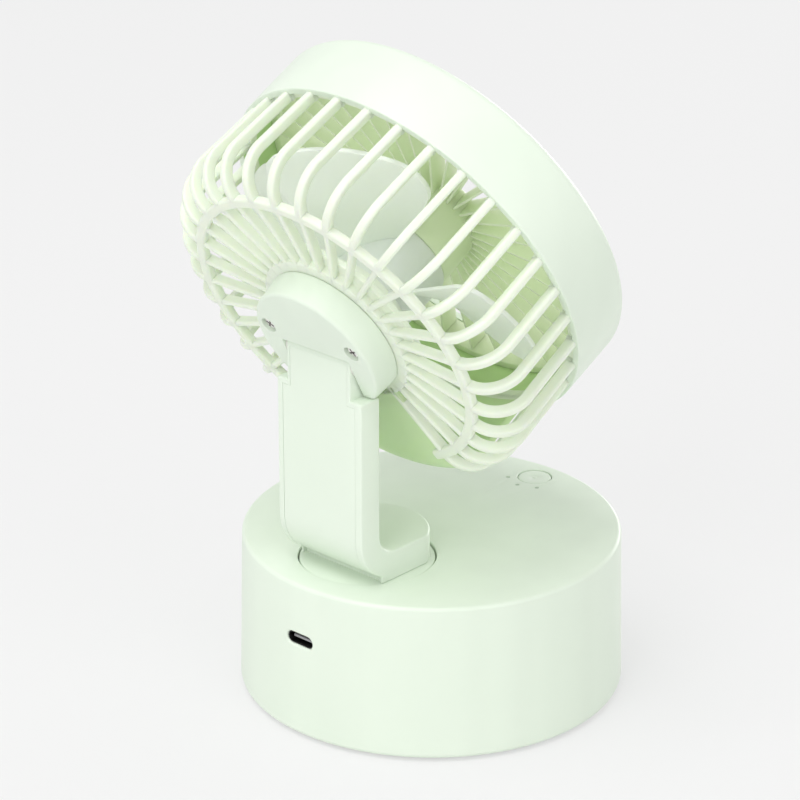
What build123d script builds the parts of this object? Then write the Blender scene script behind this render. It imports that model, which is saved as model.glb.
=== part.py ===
from build123d import *
from math import atan2, cos, pi, radians, sin, sqrt, tan
import os

# A small rechargeable desk fan: a round base with a turntable, an L-shaped arm, and a tilting
# round head with a ribbed rear grille.  Millimetres, +Z up, the fan blows towards -Y and up.
# The origin is the centre of the anti-slip pad's underside, where the fan stands.

# ---- clearances -------------------------------------------------------------------------
seat_clearance = 0.1        # between two pieces of one body that fit in each other
running_clearance = 0.05    # radial, a shaft in its bore
press_clearance = 0.02      # radial, a pin pressed into its hole
turning_clearance = 0.3     # between moving pieces that only pass each other

# ---- base -------------------------------------------------------------------------------
base_bottom_radius = 52.5
base_draft = 1.0
base_height = 44.5
base_wall = 2.2
roof_thickness = 2.6
base_top_round = 1.2
base_bottom_round = 1.5
pad_radius = 38.0
pad_thickness = 1.4
pad_proud = 0.8
cover_thickness = 2.4
cover_screw_inset = 7.5
cover_screw_angles = (45, 135, 195, 345)
cover_boss_radius = 3.2

# ---- fasteners --------------------------------------------------------------------------
screw_radius = 1.0
screw_head_radius = 1.9
screw_head_height = 1.3
screw_length = 6.0
board_screw_length = 4.0
charge_screw_length = 5.0
gear_screw_length = 5.5
foot_screw_length = 8.0
motor_screw_length = 4.5
cross_recess_width = 0.5
cross_recess_depth = 0.5
bore_end_gap = 0.6

# ---- turntable and its drive ------------------------------------------------------------
swivel_y = 25.5
turntable_radius = 18.2
turntable_thickness = 3.0
turntable_sunk = 0.5
turntable_gap = 0.35
neck_radius = 12.0
well_floor = 2.5
well_wall = 2.0
washer_thickness = 0.4
cable_hole_radius = 3.2
gear_module = 0.8
swivel_gear_teeth = 40
pinion_teeth = 12
pressure_angle = 20.0
tooth_backlash = 0.24
gear_thickness = 3.6
gear_play = 0.5
gear_screw_circle = 9.6
foot_screw_x = 8.0
foot_screw_offset = 1.5
motor_shaft_radius = 2.5
motor_radius = 14.0
motor_height = 17.0
motor_offset = 8.0
motor_turn = -138.0
motor_ear_reach = 17.5
motor_ear_thickness = 0.8
motor_ear_radius = 3.5
motor_boss_radius = 4.5
motor_boss_height = 1.2
pinion_lift = 0.6

# ---- power button, lights and boards ----------------------------------------------------
button_y = -43.0
button_radius = 4.6
button_gap = 0.25
button_flange_radius = 5.3
button_flange_thickness = 0.8
button_land = 2.0
button_sunk = 0.15
button_travel = 0.4
button_guide_wall = 1.0
light_circle = 7.5
light_radius = 0.6
light_angles = (45, 90, 135)
board_light_size = 1.8
board_light_height = 0.95
board_thickness = 1.2
switch_size = 6.0
switch_height = 3.4
plunger_radius = 1.75
plunger_height = 0.9
control_board_width = 22.0
control_board_length = 19.0
control_board_y = -37.0
board_post_radius = 2.4
post_bore_depth = 5.0

# ---- charging socket --------------------------------------------------------------------
port_z = 28.6
port_width = 8.94
port_height = 3.26
port_wall = 0.3
port_depth = 7.3
port_sunk = 0.7
port_chamfer = 0.5
tongue_width = 6.7
tongue_height = 0.7
tongue_length = 5.2
charge_board_width = 20.0
charge_board_length = 14.0
charge_board_setback = 2.6
charge_post_margin_x = 0.4
charge_post_margin_y = 0.9
socket_back_wall = 1.2

# ---- battery ----------------------------------------------------------------------------
cell_radius = 9.2
cell_length = 65.0
cell_y = -27.0
cell_lift = 0.6
cradle_spacing = 40.0
cradle_thickness = 3.0
cradle_wall = 2.2

# ---- arm --------------------------------------------------------------------------------
arm_half_width = 14.95
arm_thickness = 7.2
arm_rear_y = 43.6
foot_height = 8.3
foot_roof = 2.0
foot_round_radius = 16.65
inner_bend_radius = 6.0
foot_heel_y = 35.5
heel_recess_depth = 1.2
heel_recess_height = 1.9
heel_recess_inset = 1.0
shoulder_z = 97.5
tongue_half_width = 11.2
arm_edge_round = 0.7
cover_plate_thickness = 1.6
cover_inset = 2.0
tongue_cover_inset = 1.0
shoulder_step = 1.5
wire_groove_width = 7.0
wire_groove_depth = 2.4
cover_peg_radius = 1.0
cover_peg_length = 1.4
cover_peg_inset = 2.6
cover_peg_rise = 4.0
cover_peg_drop = 8.0

# ---- tilt hinge -------------------------------------------------------------------------
tilt_axis_y = 40.0
tilt_axis_z = 107.05
axle_radius = 2.0
axle_half_length = 17.0
friction_washer_radius = 3.4
friction_washer_thickness = 0.45

# ---- head, measured from its front plane to the rear along its own axis -----------------
head_tilt = 27.5
axis_behind_front = 55.8
axis_below_centre = 3.4
head_radius = 55.5
shroud_depth = 21.2
shroud_wall = 1.9
shroud_front_round = 2.9
shroud_lip_width = 4.5
shroud_lip_depth = 2.0

# rear grille
rib_count = 34
rib_width = 2.4
rib_inner_width = 1.7
rib_depth = 2.9
rib_start_inset = 0.84
rib_bend_radius = 10.5
rib_rear = 52.2
hub_rear = 50.8
hub_collar_radius = 22.8
hub_thickness = 2.2
hub_disc_radius = 27.4
hub_disc_sunk = 2.0
hub_disc_thickness = 1.8
rib_root_overlap = 2.3
hoop_radius = 43.5
hoop_width = 3.0
hoop_depth = 2.4
ring_plug_depth = 3.6
ring_sunk = 0.9
panel_sunk = 1.4
panel_thickness = 1.8
panel_half_width_top = 13.0
panel_top_y = -17.5
panel_flare = 19.0
boss_depth = 6.0
boss_radius = 2.3

# front grille
fin_count = 32
fin_phase = 3.25
fin_thickness = 1.1
fin_front = 2.4
fin_rear = 8.4
fin_ring_depth = 7.0
fin_ring_width = 2.2
cup_radius = 12.0
cup_rear = 20.4
cup_wall = 1.6
cup_face_thickness = 1.6
cup_face_dish = 1.2

# hinge bracket
bracket_front_radius = 20.05
bracket_rear_radius = 19.45
bracket_rear = 59.2
bracket_edge_round = 0.8
notch_half_width = 11.8
notch_top = 0.5
leg_clearance = 0.35
bracket_screw_x = 14.63
bracket_screw_y = 4.45
bracket_screw_sunk = 0.9
bracket_screw_grip = 5.2
counterbore_radius = 2.3
bore_end_wall = 1.8

# fan motor and impeller
fan_motor_radius = 12.0
fan_motor_depth = 9.0
motor_cup_wall = 1.8
motor_cup_open = 0.4
motor_vent_count = 6
motor_vent_circle = 7.44
motor_vent_radius = 1.6
motor_vent_depth = 1.0
fan_shaft_radius = 1.0
fan_bush_radius = 3.0
fan_bush_height = 1.4
impeller_hub_radius = 13.0
impeller_front = 21.4
impeller_rear = 38.4
impeller_wall = 1.6
impeller_round = 1.0
impeller_boss_radius = 3.2
blade_count = 4
blade_tip_radius = 46.0
blade_span = 62.0
blade_start = 52.0
blade_front = 22.9
blade_rise = 14.4
blade_curve = 1.3
blade_thickness = 1.3
blade_lead_round = 9.0
blade_trail_round = 5.0
blade_overshoot = 6.0

# ---- places and levels that follow from the sizes above ---------------------------------
base_top_radius = base_bottom_radius - base_draft
cover_screw_circle = base_bottom_radius - cover_screw_inset
turntable_top = base_height - turntable_sunk
turntable_bottom = turntable_top - turntable_thickness
well_floor_top = turntable_bottom - washer_thickness - seat_clearance
well_floor_bottom = well_floor_top - well_floor
well_radius = turntable_radius + turntable_gap
gear_top = well_floor_bottom - gear_play
gear_bottom = gear_top - gear_thickness
roof_bottom = base_height - roof_thickness
cover_top = pad_proud + cover_thickness
swivel_gear_pitch = gear_module * swivel_gear_teeth / 2
pinion_pitch = gear_module * pinion_teeth / 2
pinion_y = swivel_y - swivel_gear_pitch - pinion_pitch
motor_top = gear_bottom - pinion_lift - motor_boss_height
motor_x = motor_offset * cos(radians(motor_turn))
motor_y = pinion_y + motor_offset * sin(radians(motor_turn))
button_top = base_height - button_sunk
button_ledge_z = base_height - button_land
button_bottom = button_ledge_z - turning_clearance - button_flange_thickness
switch_bottom = button_bottom - plunger_height - switch_height
port_floor_z = port_z - port_height / 2
foot_top = turntable_top + foot_height
arm_front_y = arm_rear_y - arm_thickness
outer_bend_radius = inner_bend_radius + arm_thickness
bend_y = arm_front_y - inner_bend_radius
bend_z = foot_top + inner_bend_radius
tongue_round = arm_thickness / 2
bracket_leg_radius = tilt_axis_z - shoulder_z - leg_clearance
shroud_lip_inner = head_radius - shroud_lip_width
fin_ring_outer = head_radius - shroud_wall - seat_clearance
rib_start_radius = head_radius - rib_start_inset
rib_start = shroud_depth + seat_clearance
ring_inner = rib_start_radius - rib_depth
ring_rear = shroud_depth - ring_sunk
rib_bend_centre = head_radius - rib_bend_radius
rib_bend_depth = rib_rear - rib_bend_radius
rib_root_radius = hub_collar_radius - rib_root_overlap
fan_motor_front = hub_rear - hub_thickness - fan_motor_depth

# The head's own frame: x to the right as seen from behind, y up, z to the rear.
tilt = radians(head_tilt)
head_y = tilt_axis_y - axis_behind_front * cos(tilt) + axis_below_centre * sin(tilt)
head_z = tilt_axis_z + axis_behind_front * sin(tilt) + axis_below_centre * cos(tilt)
head = Plane(origin=(0, head_y, head_z), x_dir=(-1, 0, 0), z_dir=(0, cos(tilt), -sin(tilt)))


# ---- shared forms -----------------------------------------------------------------------
def rod(radius, low, high, x=0.0, y=0.0):
    """A solid cylinder along Z from low to high."""
    return Pos(x, y, low) * extrude(Circle(radius), high - low)


def tube(outer, inner, low, high, x=0.0, y=0.0):
    """A hollow cylinder along Z from low to high."""
    return Pos(x, y, low) * extrude(Circle(outer) - Circle(inner), high - low)


def bar_x(radius, x_low, x_high, y, z):
    """A solid cylinder along X."""
    return Pos(x_low, y, z) * Rot(0, 90, 0) * extrude(Circle(radius), x_high - x_low)


def block(x_low, x_high, y_low, y_high, z_low, z_high):
    """A box between two corners."""
    centre = Pos((x_low + x_high) / 2, (y_low + y_high) / 2, (z_low + z_high) / 2)
    return centre * Box(x_high - x_low, y_high - y_low, z_high - z_low)


def turned(*points):
    """A solid of revolution about Z from an outline of (radius, height) points."""
    return revolve(Plane.XZ * make_face(Polyline(*points, close=True)), Axis.Z)


def circle_points(radius, count, start=0.0, x=0.0, y=0.0):
    """Evenly spaced points on a circle, as (x, y) pairs."""
    steps = [radians(start + 360 * i / count) for i in range(count)]
    return [(x + radius * cos(a), y + radius * sin(a)) for a in steps]


def pan_screw(length=screw_length):
    """A cross-recessed screw: its head's underside at z = 0, its shank along -Z."""
    screw = rod(screw_radius, -length, 0) + rod(screw_head_radius, 0, screw_head_height)
    screw = fillet(screw.edges().sort_by(Axis.Z)[-1], screw_head_height / 3)
    reach = screw_head_radius * 0.6
    top = screw_head_height
    for a, b in ((reach, cross_recess_width / 2), (cross_recess_width / 2, reach)):
        screw -= block(-a, a, -b, b, top - cross_recess_depth, top + 1)
    return screw


def group(shapes):
    """Separate solids kept side by side in one node."""
    return Compound(children=list(shapes))


def gear_blank(teeth, thickness):
    """A spur gear with involute flanks, centred on Z, with one tooth gap facing +X."""
    pitch = gear_module * teeth / 2
    base = pitch * cos(radians(pressure_angle))
    tip = pitch + gear_module
    root = pitch - 1.25 * gear_module
    involute = tan(radians(pressure_angle)) - radians(pressure_angle)
    half_tooth = pi / (2 * teeth) - tooth_backlash / (2 * pitch)
    flank = []
    for i in range(5):
        r = max(base, root) + (tip - max(base, root)) * i / 4
        pressure = sqrt(max(r * r - base * base, 0)) / base
        flank.append((r, half_tooth + involute - (pressure - atan2(pressure, 1))))
    outline = []
    for tooth in range(teeth):
        middle = 2 * pi * (tooth + 0.5) / teeth
        edge = [(root, flank[0][1])] + flank
        side = [(r, middle - a) for r, a in edge] + [(r, middle + a) for r, a in reversed(edge)]
        outline += [(r * cos(a), r * sin(a)) for r, a in side]
    return extrude(make_face(Polyline(*outline, close=True)), thickness)


# ---- base -------------------------------------------------------------------------------
def wall_radius(z):
    """Outer radius of the drafted drum at height z."""
    share = (z - pad_proud) / (base_height - pad_proud)
    return base_bottom_radius + (base_top_radius - base_bottom_radius) * share


def drum(inset, low, high):
    return turned((0, low), (wall_radius(low) - inset, low), (wall_radius(high) - inset, high),
                  (0, high))


def cover_screw_points():
    return [(cover_screw_circle * cos(radians(a)), cover_screw_circle * sin(radians(a)))
            for a in cover_screw_angles]


def board_post_points():
    side = control_board_width / 2 - board_post_radius
    y = control_board_y + control_board_length / 2 - board_post_radius
    return [(-side, y), (side, y)]


def motor_ear_points():
    return [(motor_x + motor_ear_reach * side, motor_y) for side in (-1, 1)]


def light_points():
    return [(light_circle * cos(radians(a)), button_y + light_circle * sin(radians(a)))
            for a in light_angles]


def slot_y(width, height, y_low, y_high, z):
    """A rounded slot that runs along Y."""
    outline = Plane(origin=(0, y_low, z), x_dir=(1, 0, 0), z_dir=(0, 1, 0)) * SlotOverall(width, height)
    return extrude(outline, y_high - y_low)


def base_shell():
    shell = drum(0, pad_proud, base_height)
    rims = shell.edges().filter_by(GeomType.CIRCLE).sort_by(Axis.Z)
    shell = fillet(rims[-1], base_top_round)
    rims = shell.edges().filter_by(GeomType.CIRCLE).sort_by(Axis.Z)
    shell = fillet(rims[0], base_bottom_round)
    shell -= drum(base_wall, pad_proud - 1, roof_bottom)
    shell += rod(well_radius + well_wall, well_floor_bottom, roof_bottom + 1, 0, swivel_y)
    shell += rod(button_flange_radius + turning_clearance + button_guide_wall,
                 switch_bottom + switch_height, roof_bottom + 1, 0, button_y)
    for x, y in cover_screw_points():
        shell += rod(cover_boss_radius, cover_top, roof_bottom + 1, x, y)
    for x, y in board_post_points():
        shell += rod(board_post_radius, switch_bottom, roof_bottom + 1, x, y)
    for x, y in motor_ear_points():
        shell += rod(motor_ear_radius, motor_top, roof_bottom + 1, x, y)
    for x, y in cover_screw_points():
        shell -= rod(screw_radius + seat_clearance, cover_top - 1, cover_top + screw_length, x, y)
    for x, y in board_post_points():
        shell -= rod(screw_radius + seat_clearance, switch_bottom - 1,
                     switch_bottom + post_bore_depth, x, y)
    for x, y in motor_ear_points():
        shell -= rod(screw_radius + seat_clearance, motor_top - 1, motor_top + post_bore_depth, x, y)
    for x, y in light_points():
        shell -= rod(light_radius + seat_clearance, switch_bottom, base_height + 1, x, y)
    shell -= rod(well_radius, well_floor_top, base_height + 1, 0, swivel_y)
    shell -= rod(neck_radius + running_clearance, well_floor_bottom - 1, base_height, 0, swivel_y)
    shell -= rod(button_radius + button_gap, button_ledge_z - 1, base_height + 1, 0, button_y)
    shell -= rod(button_flange_radius + turning_clearance, switch_bottom, button_ledge_z, 0, button_y)
    opening = port_width + 2 * seat_clearance
    tall = port_height + 2 * seat_clearance
    rear = wall_radius(port_z)
    shell -= slot_y(opening, tall, rear - 2 * base_wall, rear + 1, port_z)
    bevel = Plane(origin=(0, rear - port_chamfer, port_z), x_dir=(1, 0, 0), z_dir=(0, 1, 0))
    wide = 2 * (port_chamfer + base_wall)
    shell -= loft([bevel * SlotOverall(opening, tall),
                   bevel.offset(port_chamfer + base_wall) * SlotOverall(opening + wide, tall + wide)])
    return shell


def base_cover():
    radius = wall_radius(cover_top) - base_wall - 2 * seat_clearance
    cover = rod(radius, pad_proud, cover_top)
    cover = chamfer(cover.edges().sort_by(Axis.Z)[0], 0.5)
    half = port_height / 2
    post_top = port_z - half - board_thickness
    for x, y in charge_post_points():
        cover += rod(board_post_radius, cover_top, post_top, x, y)
        cover -= rod(screw_radius + seat_clearance, post_top - screw_length, post_top + 1, x, y)
    for side in (-1, 1):
        cover += cradle(side * cradle_spacing / 2)
    for x, y in cover_screw_points():
        cover -= rod(screw_radius + seat_clearance, 0, cover_top + 1, x, y)
        cover -= rod(screw_head_radius + seat_clearance, 0, pad_proud + screw_head_height, x, y)
    cover -= rod(pad_radius + seat_clearance, 0, pad_thickness)
    return cover


def cradle(x):
    """A saddle that carries the cell at one place along it."""
    middle = cell_level()
    wide = cell_radius + cradle_wall
    saddle = block(x - cradle_thickness / 2, x + cradle_thickness / 2,
                   cell_y - wide, cell_y + wide, cover_top, middle)
    return saddle - bar_x(cell_radius + seat_clearance, x - cradle_thickness,
                          x + cradle_thickness, cell_y, middle)


def cell_level():
    return cover_top + cell_lift + cell_radius


def anti_slip_pad():
    pad = rod(pad_radius, 0, pad_thickness)
    return chamfer(pad.edges().sort_by(Axis.Z)[0], 0.3)


def upward_screws(points, seat_z, length=screw_length):
    """Screws driven upwards, their heads' faces against seat_z."""
    return group([Pos(x, y, seat_z) * Rot(180, 0, 0) * pan_screw(length) for x, y in points])


def base_screws():
    return upward_screws(cover_screw_points(), pad_proud + screw_head_height)


def battery_cell():
    half = cell_length / 2
    cell = bar_x(cell_radius, -half, half, cell_y, cell_level())
    cell = fillet(cell.edges().filter_by(GeomType.CIRCLE), 0.8)
    return cell + bar_x(3.2, half, half + 1.2, cell_y, cell_level())


# ---- button, lights and boards ----------------------------------------------------------
def power_button():
    cap = rod(button_radius, button_bottom, button_top, 0, button_y)
    cap = fillet(cap.edges().sort_by(Axis.Z)[-1], 0.35)
    return cap + rod(button_flange_radius, button_bottom,
                     button_bottom + button_flange_thickness, 0, button_y)


def switch_plunger():
    return rod(plunger_radius, button_bottom - 2 * plunger_height, button_bottom, 0, button_y)


def tactile_switch():
    half = switch_size / 2
    top = switch_bottom + switch_height
    body = block(-half, half, button_y - half, button_y + half, switch_bottom, top)
    return body - rod(plunger_radius + running_clearance,
                      button_bottom - 2 * plunger_height - 2 * button_travel, top + 1, 0, button_y)


def light_pipes():
    low = switch_bottom + board_light_height + running_clearance
    high = base_height - seat_clearance
    return group([rod(light_radius, low, high, x, y) for x, y in light_points()])


def board_lights():
    half = board_light_size / 2
    top = switch_bottom + board_light_height
    return group([block(x - half, x + half, y - half, y + half, switch_bottom, top)
                  for x, y in light_points()])


def control_board():
    half = control_board_width / 2
    reach = control_board_length / 2
    low = switch_bottom - board_thickness
    board = block(-half, half, control_board_y - reach, control_board_y + reach, low, switch_bottom)
    board = board & rod(wall_radius(low) - base_wall - 1.0, low - 1, switch_bottom + 1)
    for x, y in board_post_points():
        board -= rod(screw_radius + seat_clearance, low - 1, switch_bottom + 1, x, y)
    return board


def board_screws():
    return upward_screws(board_post_points(), switch_bottom - board_thickness, board_screw_length)


# ---- charging socket --------------------------------------------------------------------
def port_front():
    return wall_radius(port_z) - port_sunk


def charge_post_points():
    x = charge_board_width / 2 - board_post_radius - charge_post_margin_x
    inner_end = port_front() - charge_board_setback - charge_board_length
    y = inner_end + board_post_radius + charge_post_margin_y
    return [(-x, y), (x, y)]


def socket_shell():
    front = port_front()
    outer = slot_y(port_width, port_height, front - port_depth, front, port_z)
    inner = slot_y(port_width - 2 * port_wall, port_height - 2 * port_wall,
                   front - port_depth + socket_back_wall, front + 1, port_z)
    return outer - inner


def socket_tongue():
    low = port_front() - port_depth + socket_back_wall
    half = tongue_width / 2
    thick = tongue_height / 2
    return block(-half, half, low, low + tongue_length, port_z - thick, port_z + thick)


def charge_board():
    top = port_z - port_height / 2
    half = charge_board_width / 2
    y_high = port_front() - charge_board_setback
    board = block(-half, half, y_high - charge_board_length, y_high, top - board_thickness, top)
    board = board & rod(wall_radius(top) - base_wall - 0.5, top - 3, top + 1)
    for x, y in charge_post_points():
        board -= rod(screw_radius + seat_clearance, top - 3, top + 1, x, y)
    return board


def charge_board_screws():
    top = port_z - port_height / 2
    return group([Pos(x, y, top) * pan_screw(charge_screw_length) for x, y in charge_post_points()])


# ---- turntable drive --------------------------------------------------------------------
def turntable():
    plate = rod(turntable_radius, turntable_bottom, turntable_top, 0, swivel_y)
    plate = fillet(plate.edges().sort_by(Axis.Z)[-1], 0.4)
    plate += rod(neck_radius, gear_top, turntable_bottom + 1, 0, swivel_y)
    plate -= rod(cable_hole_radius, gear_top - 1, turntable_top + 1, 0, swivel_y)
    for x, y in gear_screw_points():
        plate -= rod(screw_radius + seat_clearance, gear_top - 1, gear_top + 4.5, x, y)
    for x, y in foot_screw_points():
        plate -= rod(screw_radius + seat_clearance, gear_top - 1, turntable_top + 1, x, y)
        plate -= rod(screw_head_radius + seat_clearance, gear_top - 1, foot_screw_seat(), x, y)
    return plate


def gear_screw_points():
    return circle_points(gear_screw_circle, 3, 90, 0, swivel_y)


def foot_screw_points():
    return [(side * foot_screw_x, swivel_y + foot_screw_offset) for side in (-1, 1)]


def foot_screw_seat():
    return gear_top + screw_head_height + seat_clearance


def turntable_washer():
    return tube(turntable_radius - 0.5, neck_radius + 1.0, well_floor_top,
                well_floor_top + washer_thickness, 0, swivel_y)


def swivel_gear():
    turn = -90 - 180 / swivel_gear_teeth
    gear = Pos(0, swivel_y, gear_bottom) * Rot(0, 0, turn) * gear_blank(swivel_gear_teeth, gear_thickness)
    gear -= rod(cable_hole_radius, gear_bottom - 1, gear_top + 1, 0, swivel_y)
    for x, y in gear_screw_points():
        gear -= rod(screw_radius + seat_clearance, gear_bottom - 1, gear_top + 1, x, y)
        gear -= rod(screw_head_radius + seat_clearance, gear_bottom - 1,
                    gear_bottom + screw_head_height + seat_clearance, x, y)
    return gear


def gear_screws():
    return upward_screws(gear_screw_points(), gear_bottom + screw_head_height + seat_clearance,
                         gear_screw_length)


def foot_screws():
    return upward_screws(foot_screw_points(), foot_screw_seat(), foot_screw_length)


def drive_pinion():
    low = gear_bottom - pinion_lift
    high = gear_top + gear_play / 2
    pinion = Pos(0, pinion_y, low) * Rot(0, 0, 90) * gear_blank(pinion_teeth, high - low)
    return pinion - rod(motor_shaft_radius, low - 1, high + 1, 0, pinion_y)


def drive_shaft():
    return rod(motor_shaft_radius, motor_top - 3.0, gear_top + gear_play / 2, 0, pinion_y)


def swivel_motor():
    can = rod(motor_radius, motor_top - motor_height, motor_top, motor_x, motor_y)
    can = fillet(can.edges().filter_by(GeomType.CIRCLE), 0.8)
    low = motor_top - motor_ear_thickness
    ears = block(motor_x - motor_ear_reach, motor_x + motor_ear_reach,
                 motor_y - motor_ear_radius, motor_y + motor_ear_radius, low, motor_top)
    for x, y in motor_ear_points():
        ears += rod(motor_ear_radius, low, motor_top, x, y)
        ears -= rod(screw_radius + seat_clearance, low - 1, motor_top + 1, x, y)
    boss = rod(motor_boss_radius, motor_top - 1, motor_top + motor_boss_height - 0.2, 0, pinion_y)
    can = can + ears + boss
    return can - rod(motor_shaft_radius + running_clearance, motor_top - 3.0 - turning_clearance,
                     motor_top + 4, 0, pinion_y)


def swivel_motor_screws():
    return upward_screws(motor_ear_points(), motor_top - motor_ear_thickness, motor_screw_length)


# ---- arm --------------------------------------------------------------------------------
def bend_heel(radius):
    """Where the outer bend, or a curve parallel to it, stops above the foot's heel."""
    return bend_z - sqrt(radius ** 2 - (foot_heel_y - bend_y) ** 2)


def arm_profile():
    """The L-shaped side view of the arm, in the YZ plane."""
    r = inner_bend_radius
    big = outer_bend_radius
    k = sqrt(0.5)
    heel_z = bend_heel(big)
    heel_angle = atan2(heel_z - bend_z, foot_heel_y - bend_y) / 2
    front = swivel_y - foot_round_radius
    lines = [
        Line((arm_front_y, shoulder_z), (arm_front_y, bend_z)),
        ThreePointArc((arm_front_y, bend_z), (bend_y + r * k, bend_z - r * k), (bend_y, foot_top)),
        Line((bend_y, foot_top), (front, foot_top)),
        Line((front, foot_top), (front, turntable_top)),
        Line((front, turntable_top), (foot_heel_y, turntable_top)),
        Line((foot_heel_y, turntable_top), (foot_heel_y, heel_z)),
        ThreePointArc((foot_heel_y, heel_z),
                      (bend_y + big * cos(heel_angle), bend_z + big * sin(heel_angle)),
                      (arm_rear_y, bend_z)),
        Line((arm_rear_y, bend_z), (arm_rear_y, shoulder_z)),
        Line((arm_rear_y, shoulder_z), (arm_front_y, shoulder_z)),
    ]
    return make_face(Curve() + lines)


def along_x(face, half_width):
    """A YZ outline made into a solid that is centred on x = 0."""
    return extrude(Plane.YZ * face, half_width, both=True)


def foot_plan():
    """Seen from above: straight sides, and a front end that is round about the swivel."""
    side = 2 * arm_half_width
    length = 2 * (arm_rear_y - swivel_y + arm_thickness)
    straight = Pos(0, swivel_y + length / 2) * Rectangle(side, length)
    nose = Pos(0, swivel_y) * Circle(foot_round_radius)
    outline = (straight + nose) & (Pos(0, swivel_y) * Rectangle(side, 2 * length))
    return Pos(0, 0, turntable_top - 1) * extrude(outline, shoulder_z - turntable_top + 2)


def tongue():
    high = tilt_axis_z
    side = block(-tongue_half_width, tongue_half_width, arm_front_y, arm_rear_y, shoulder_z - 2, high)
    return side + bar_x(tongue_round, -tongue_half_width, tongue_half_width, tilt_axis_y, high)


def skin_profile(inset, top):
    """A strip under the arm's rear face, from the heel up to top, in the YZ plane."""
    outer = outer_bend_radius + 0.5
    inner = outer_bend_radius - inset
    middle = -pi / 5
    far = bend_y + outer
    near = bend_y + inner
    outer_z = bend_z - sqrt(outer ** 2 - (foot_heel_y - bend_y) ** 2)
    inner_z = bend_heel(inner)
    lines = [
        Line((near, top), (near, bend_z)),
        ThreePointArc((near, bend_z), (bend_y + inner * cos(middle), bend_z + inner * sin(middle)),
                      (foot_heel_y, inner_z)),
        Line((foot_heel_y, inner_z), (foot_heel_y, outer_z)),
        ThreePointArc((foot_heel_y, outer_z), (bend_y + outer * cos(middle), bend_z + outer * sin(middle)),
                      (far, bend_z)),
        Line((far, bend_z), (far, top)),
        Line((far, top), (near, top)),
    ]
    return make_face(Curve() + lines)


def cover_outline(gap):
    """The room of the rear cover: wide on the arm, narrow on the tongue."""
    wide = arm_half_width - cover_inset - gap
    narrow = tongue_half_width - tongue_cover_inset - gap
    depth = cover_plate_thickness - gap
    step = shoulder_z - shoulder_step
    room = along_x(skin_profile(depth, step - gap), wide)
    return room + along_x(skin_profile(depth, tilt_axis_z - gap), narrow)


def cover_peg_points():
    x = arm_half_width - cover_inset - cover_peg_inset
    levels = (bend_z + cover_peg_rise, shoulder_z - cover_peg_drop)
    return [(side * x, z) for side in (-1, 1) for z in levels]


def arm_frame():
    frame = along_x(arm_profile(), arm_half_width) & foot_plan()
    outline = frame.edges().filter_by(lambda e: abs(e.center().X) > arm_half_width - 0.01)
    nose = frame.edges().filter_by(GeomType.CIRCLE).filter_by_position(Axis.Z, foot_top, foot_top)
    frame = fillet(outline + nose, arm_edge_round)
    frame += tongue()
    frame -= cover_outline(0)
    groove = cover_plate_thickness + wire_groove_depth
    frame -= along_x(skin_profile(groove, tilt_axis_z - 2 * axle_radius - 1), wire_groove_width / 2)
    cable_roof = foot_top - foot_roof
    frame -= rod(cable_hole_radius, turntable_top - 1, cable_roof, 0, swivel_y)
    frame -= block(-cable_hole_radius, cable_hole_radius, swivel_y, foot_heel_y + seat_clearance,
                   bend_heel(outer_bend_radius), cable_roof)
    recess = arm_half_width - heel_recess_inset
    frame -= block(-recess, recess, foot_heel_y - heel_recess_depth, foot_heel_y + 1,
                   turntable_top - 1, turntable_top + heel_recess_height)
    frame -= bar_x(axle_radius + press_clearance, -arm_half_width, arm_half_width, tilt_axis_y, tilt_axis_z)
    for x, z in cover_peg_points():
        frame -= peg(cover_peg_radius + seat_clearance, x, z, cover_peg_length + seat_clearance)
    for x, y in foot_screw_points():
        frame -= rod(screw_radius + seat_clearance, turntable_top - 1, foot_top - foot_roof, x, y)
    return frame


def peg(radius, x, z, length):
    """A round peg that starts inside the rear cover and runs forward into the arm."""
    root = cover_plate_thickness / 2
    return Pos(x, arm_rear_y - root, z) * Rot(90, 0, 0) * extrude(Circle(radius), length + root)


def arm_rear_cover():
    bend = bar_x(outer_bend_radius, -arm_half_width, arm_half_width, bend_y, bend_z)
    straight = block(-arm_half_width, arm_half_width, 0, arm_rear_y, bend_z, tilt_axis_z + 1)
    plate = cover_outline(seat_clearance) & (bend + straight)
    for x, z in cover_peg_points():
        plate += peg(cover_peg_radius, x, z, cover_peg_length)
    return plate


def tilt_axle():
    pin = bar_x(axle_radius, -axle_half_length, axle_half_length, tilt_axis_y, tilt_axis_z)
    return chamfer(pin.edges().filter_by(GeomType.CIRCLE), 0.3)


def friction_washers():
    hole = axle_radius + running_clearance
    ring = Circle(friction_washer_radius) - Circle(hole)
    washer = Rot(0, 90, 0) * extrude(ring, friction_washer_thickness)
    right = Pos(tongue_half_width, tilt_axis_y, tilt_axis_z)
    left = Pos(-tongue_half_width - friction_washer_thickness, tilt_axis_y, tilt_axis_z)
    return group([right * washer, left * washer])


# ---- head -------------------------------------------------------------------------------
def front_shroud():
    inner = head_radius - shroud_wall
    band = turned((shroud_lip_inner, 0), (head_radius, 0), (head_radius, shroud_depth),
                  (inner, shroud_depth), (inner, shroud_lip_depth),
                  (shroud_lip_inner, shroud_lip_depth))
    widest = band.edges().filter_by(GeomType.CIRCLE).sort_by(SortBy.RADIUS)[-2:]
    band = fillet(widest.sort_by(Axis.Z)[0], shroud_front_round)
    return head * band


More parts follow.
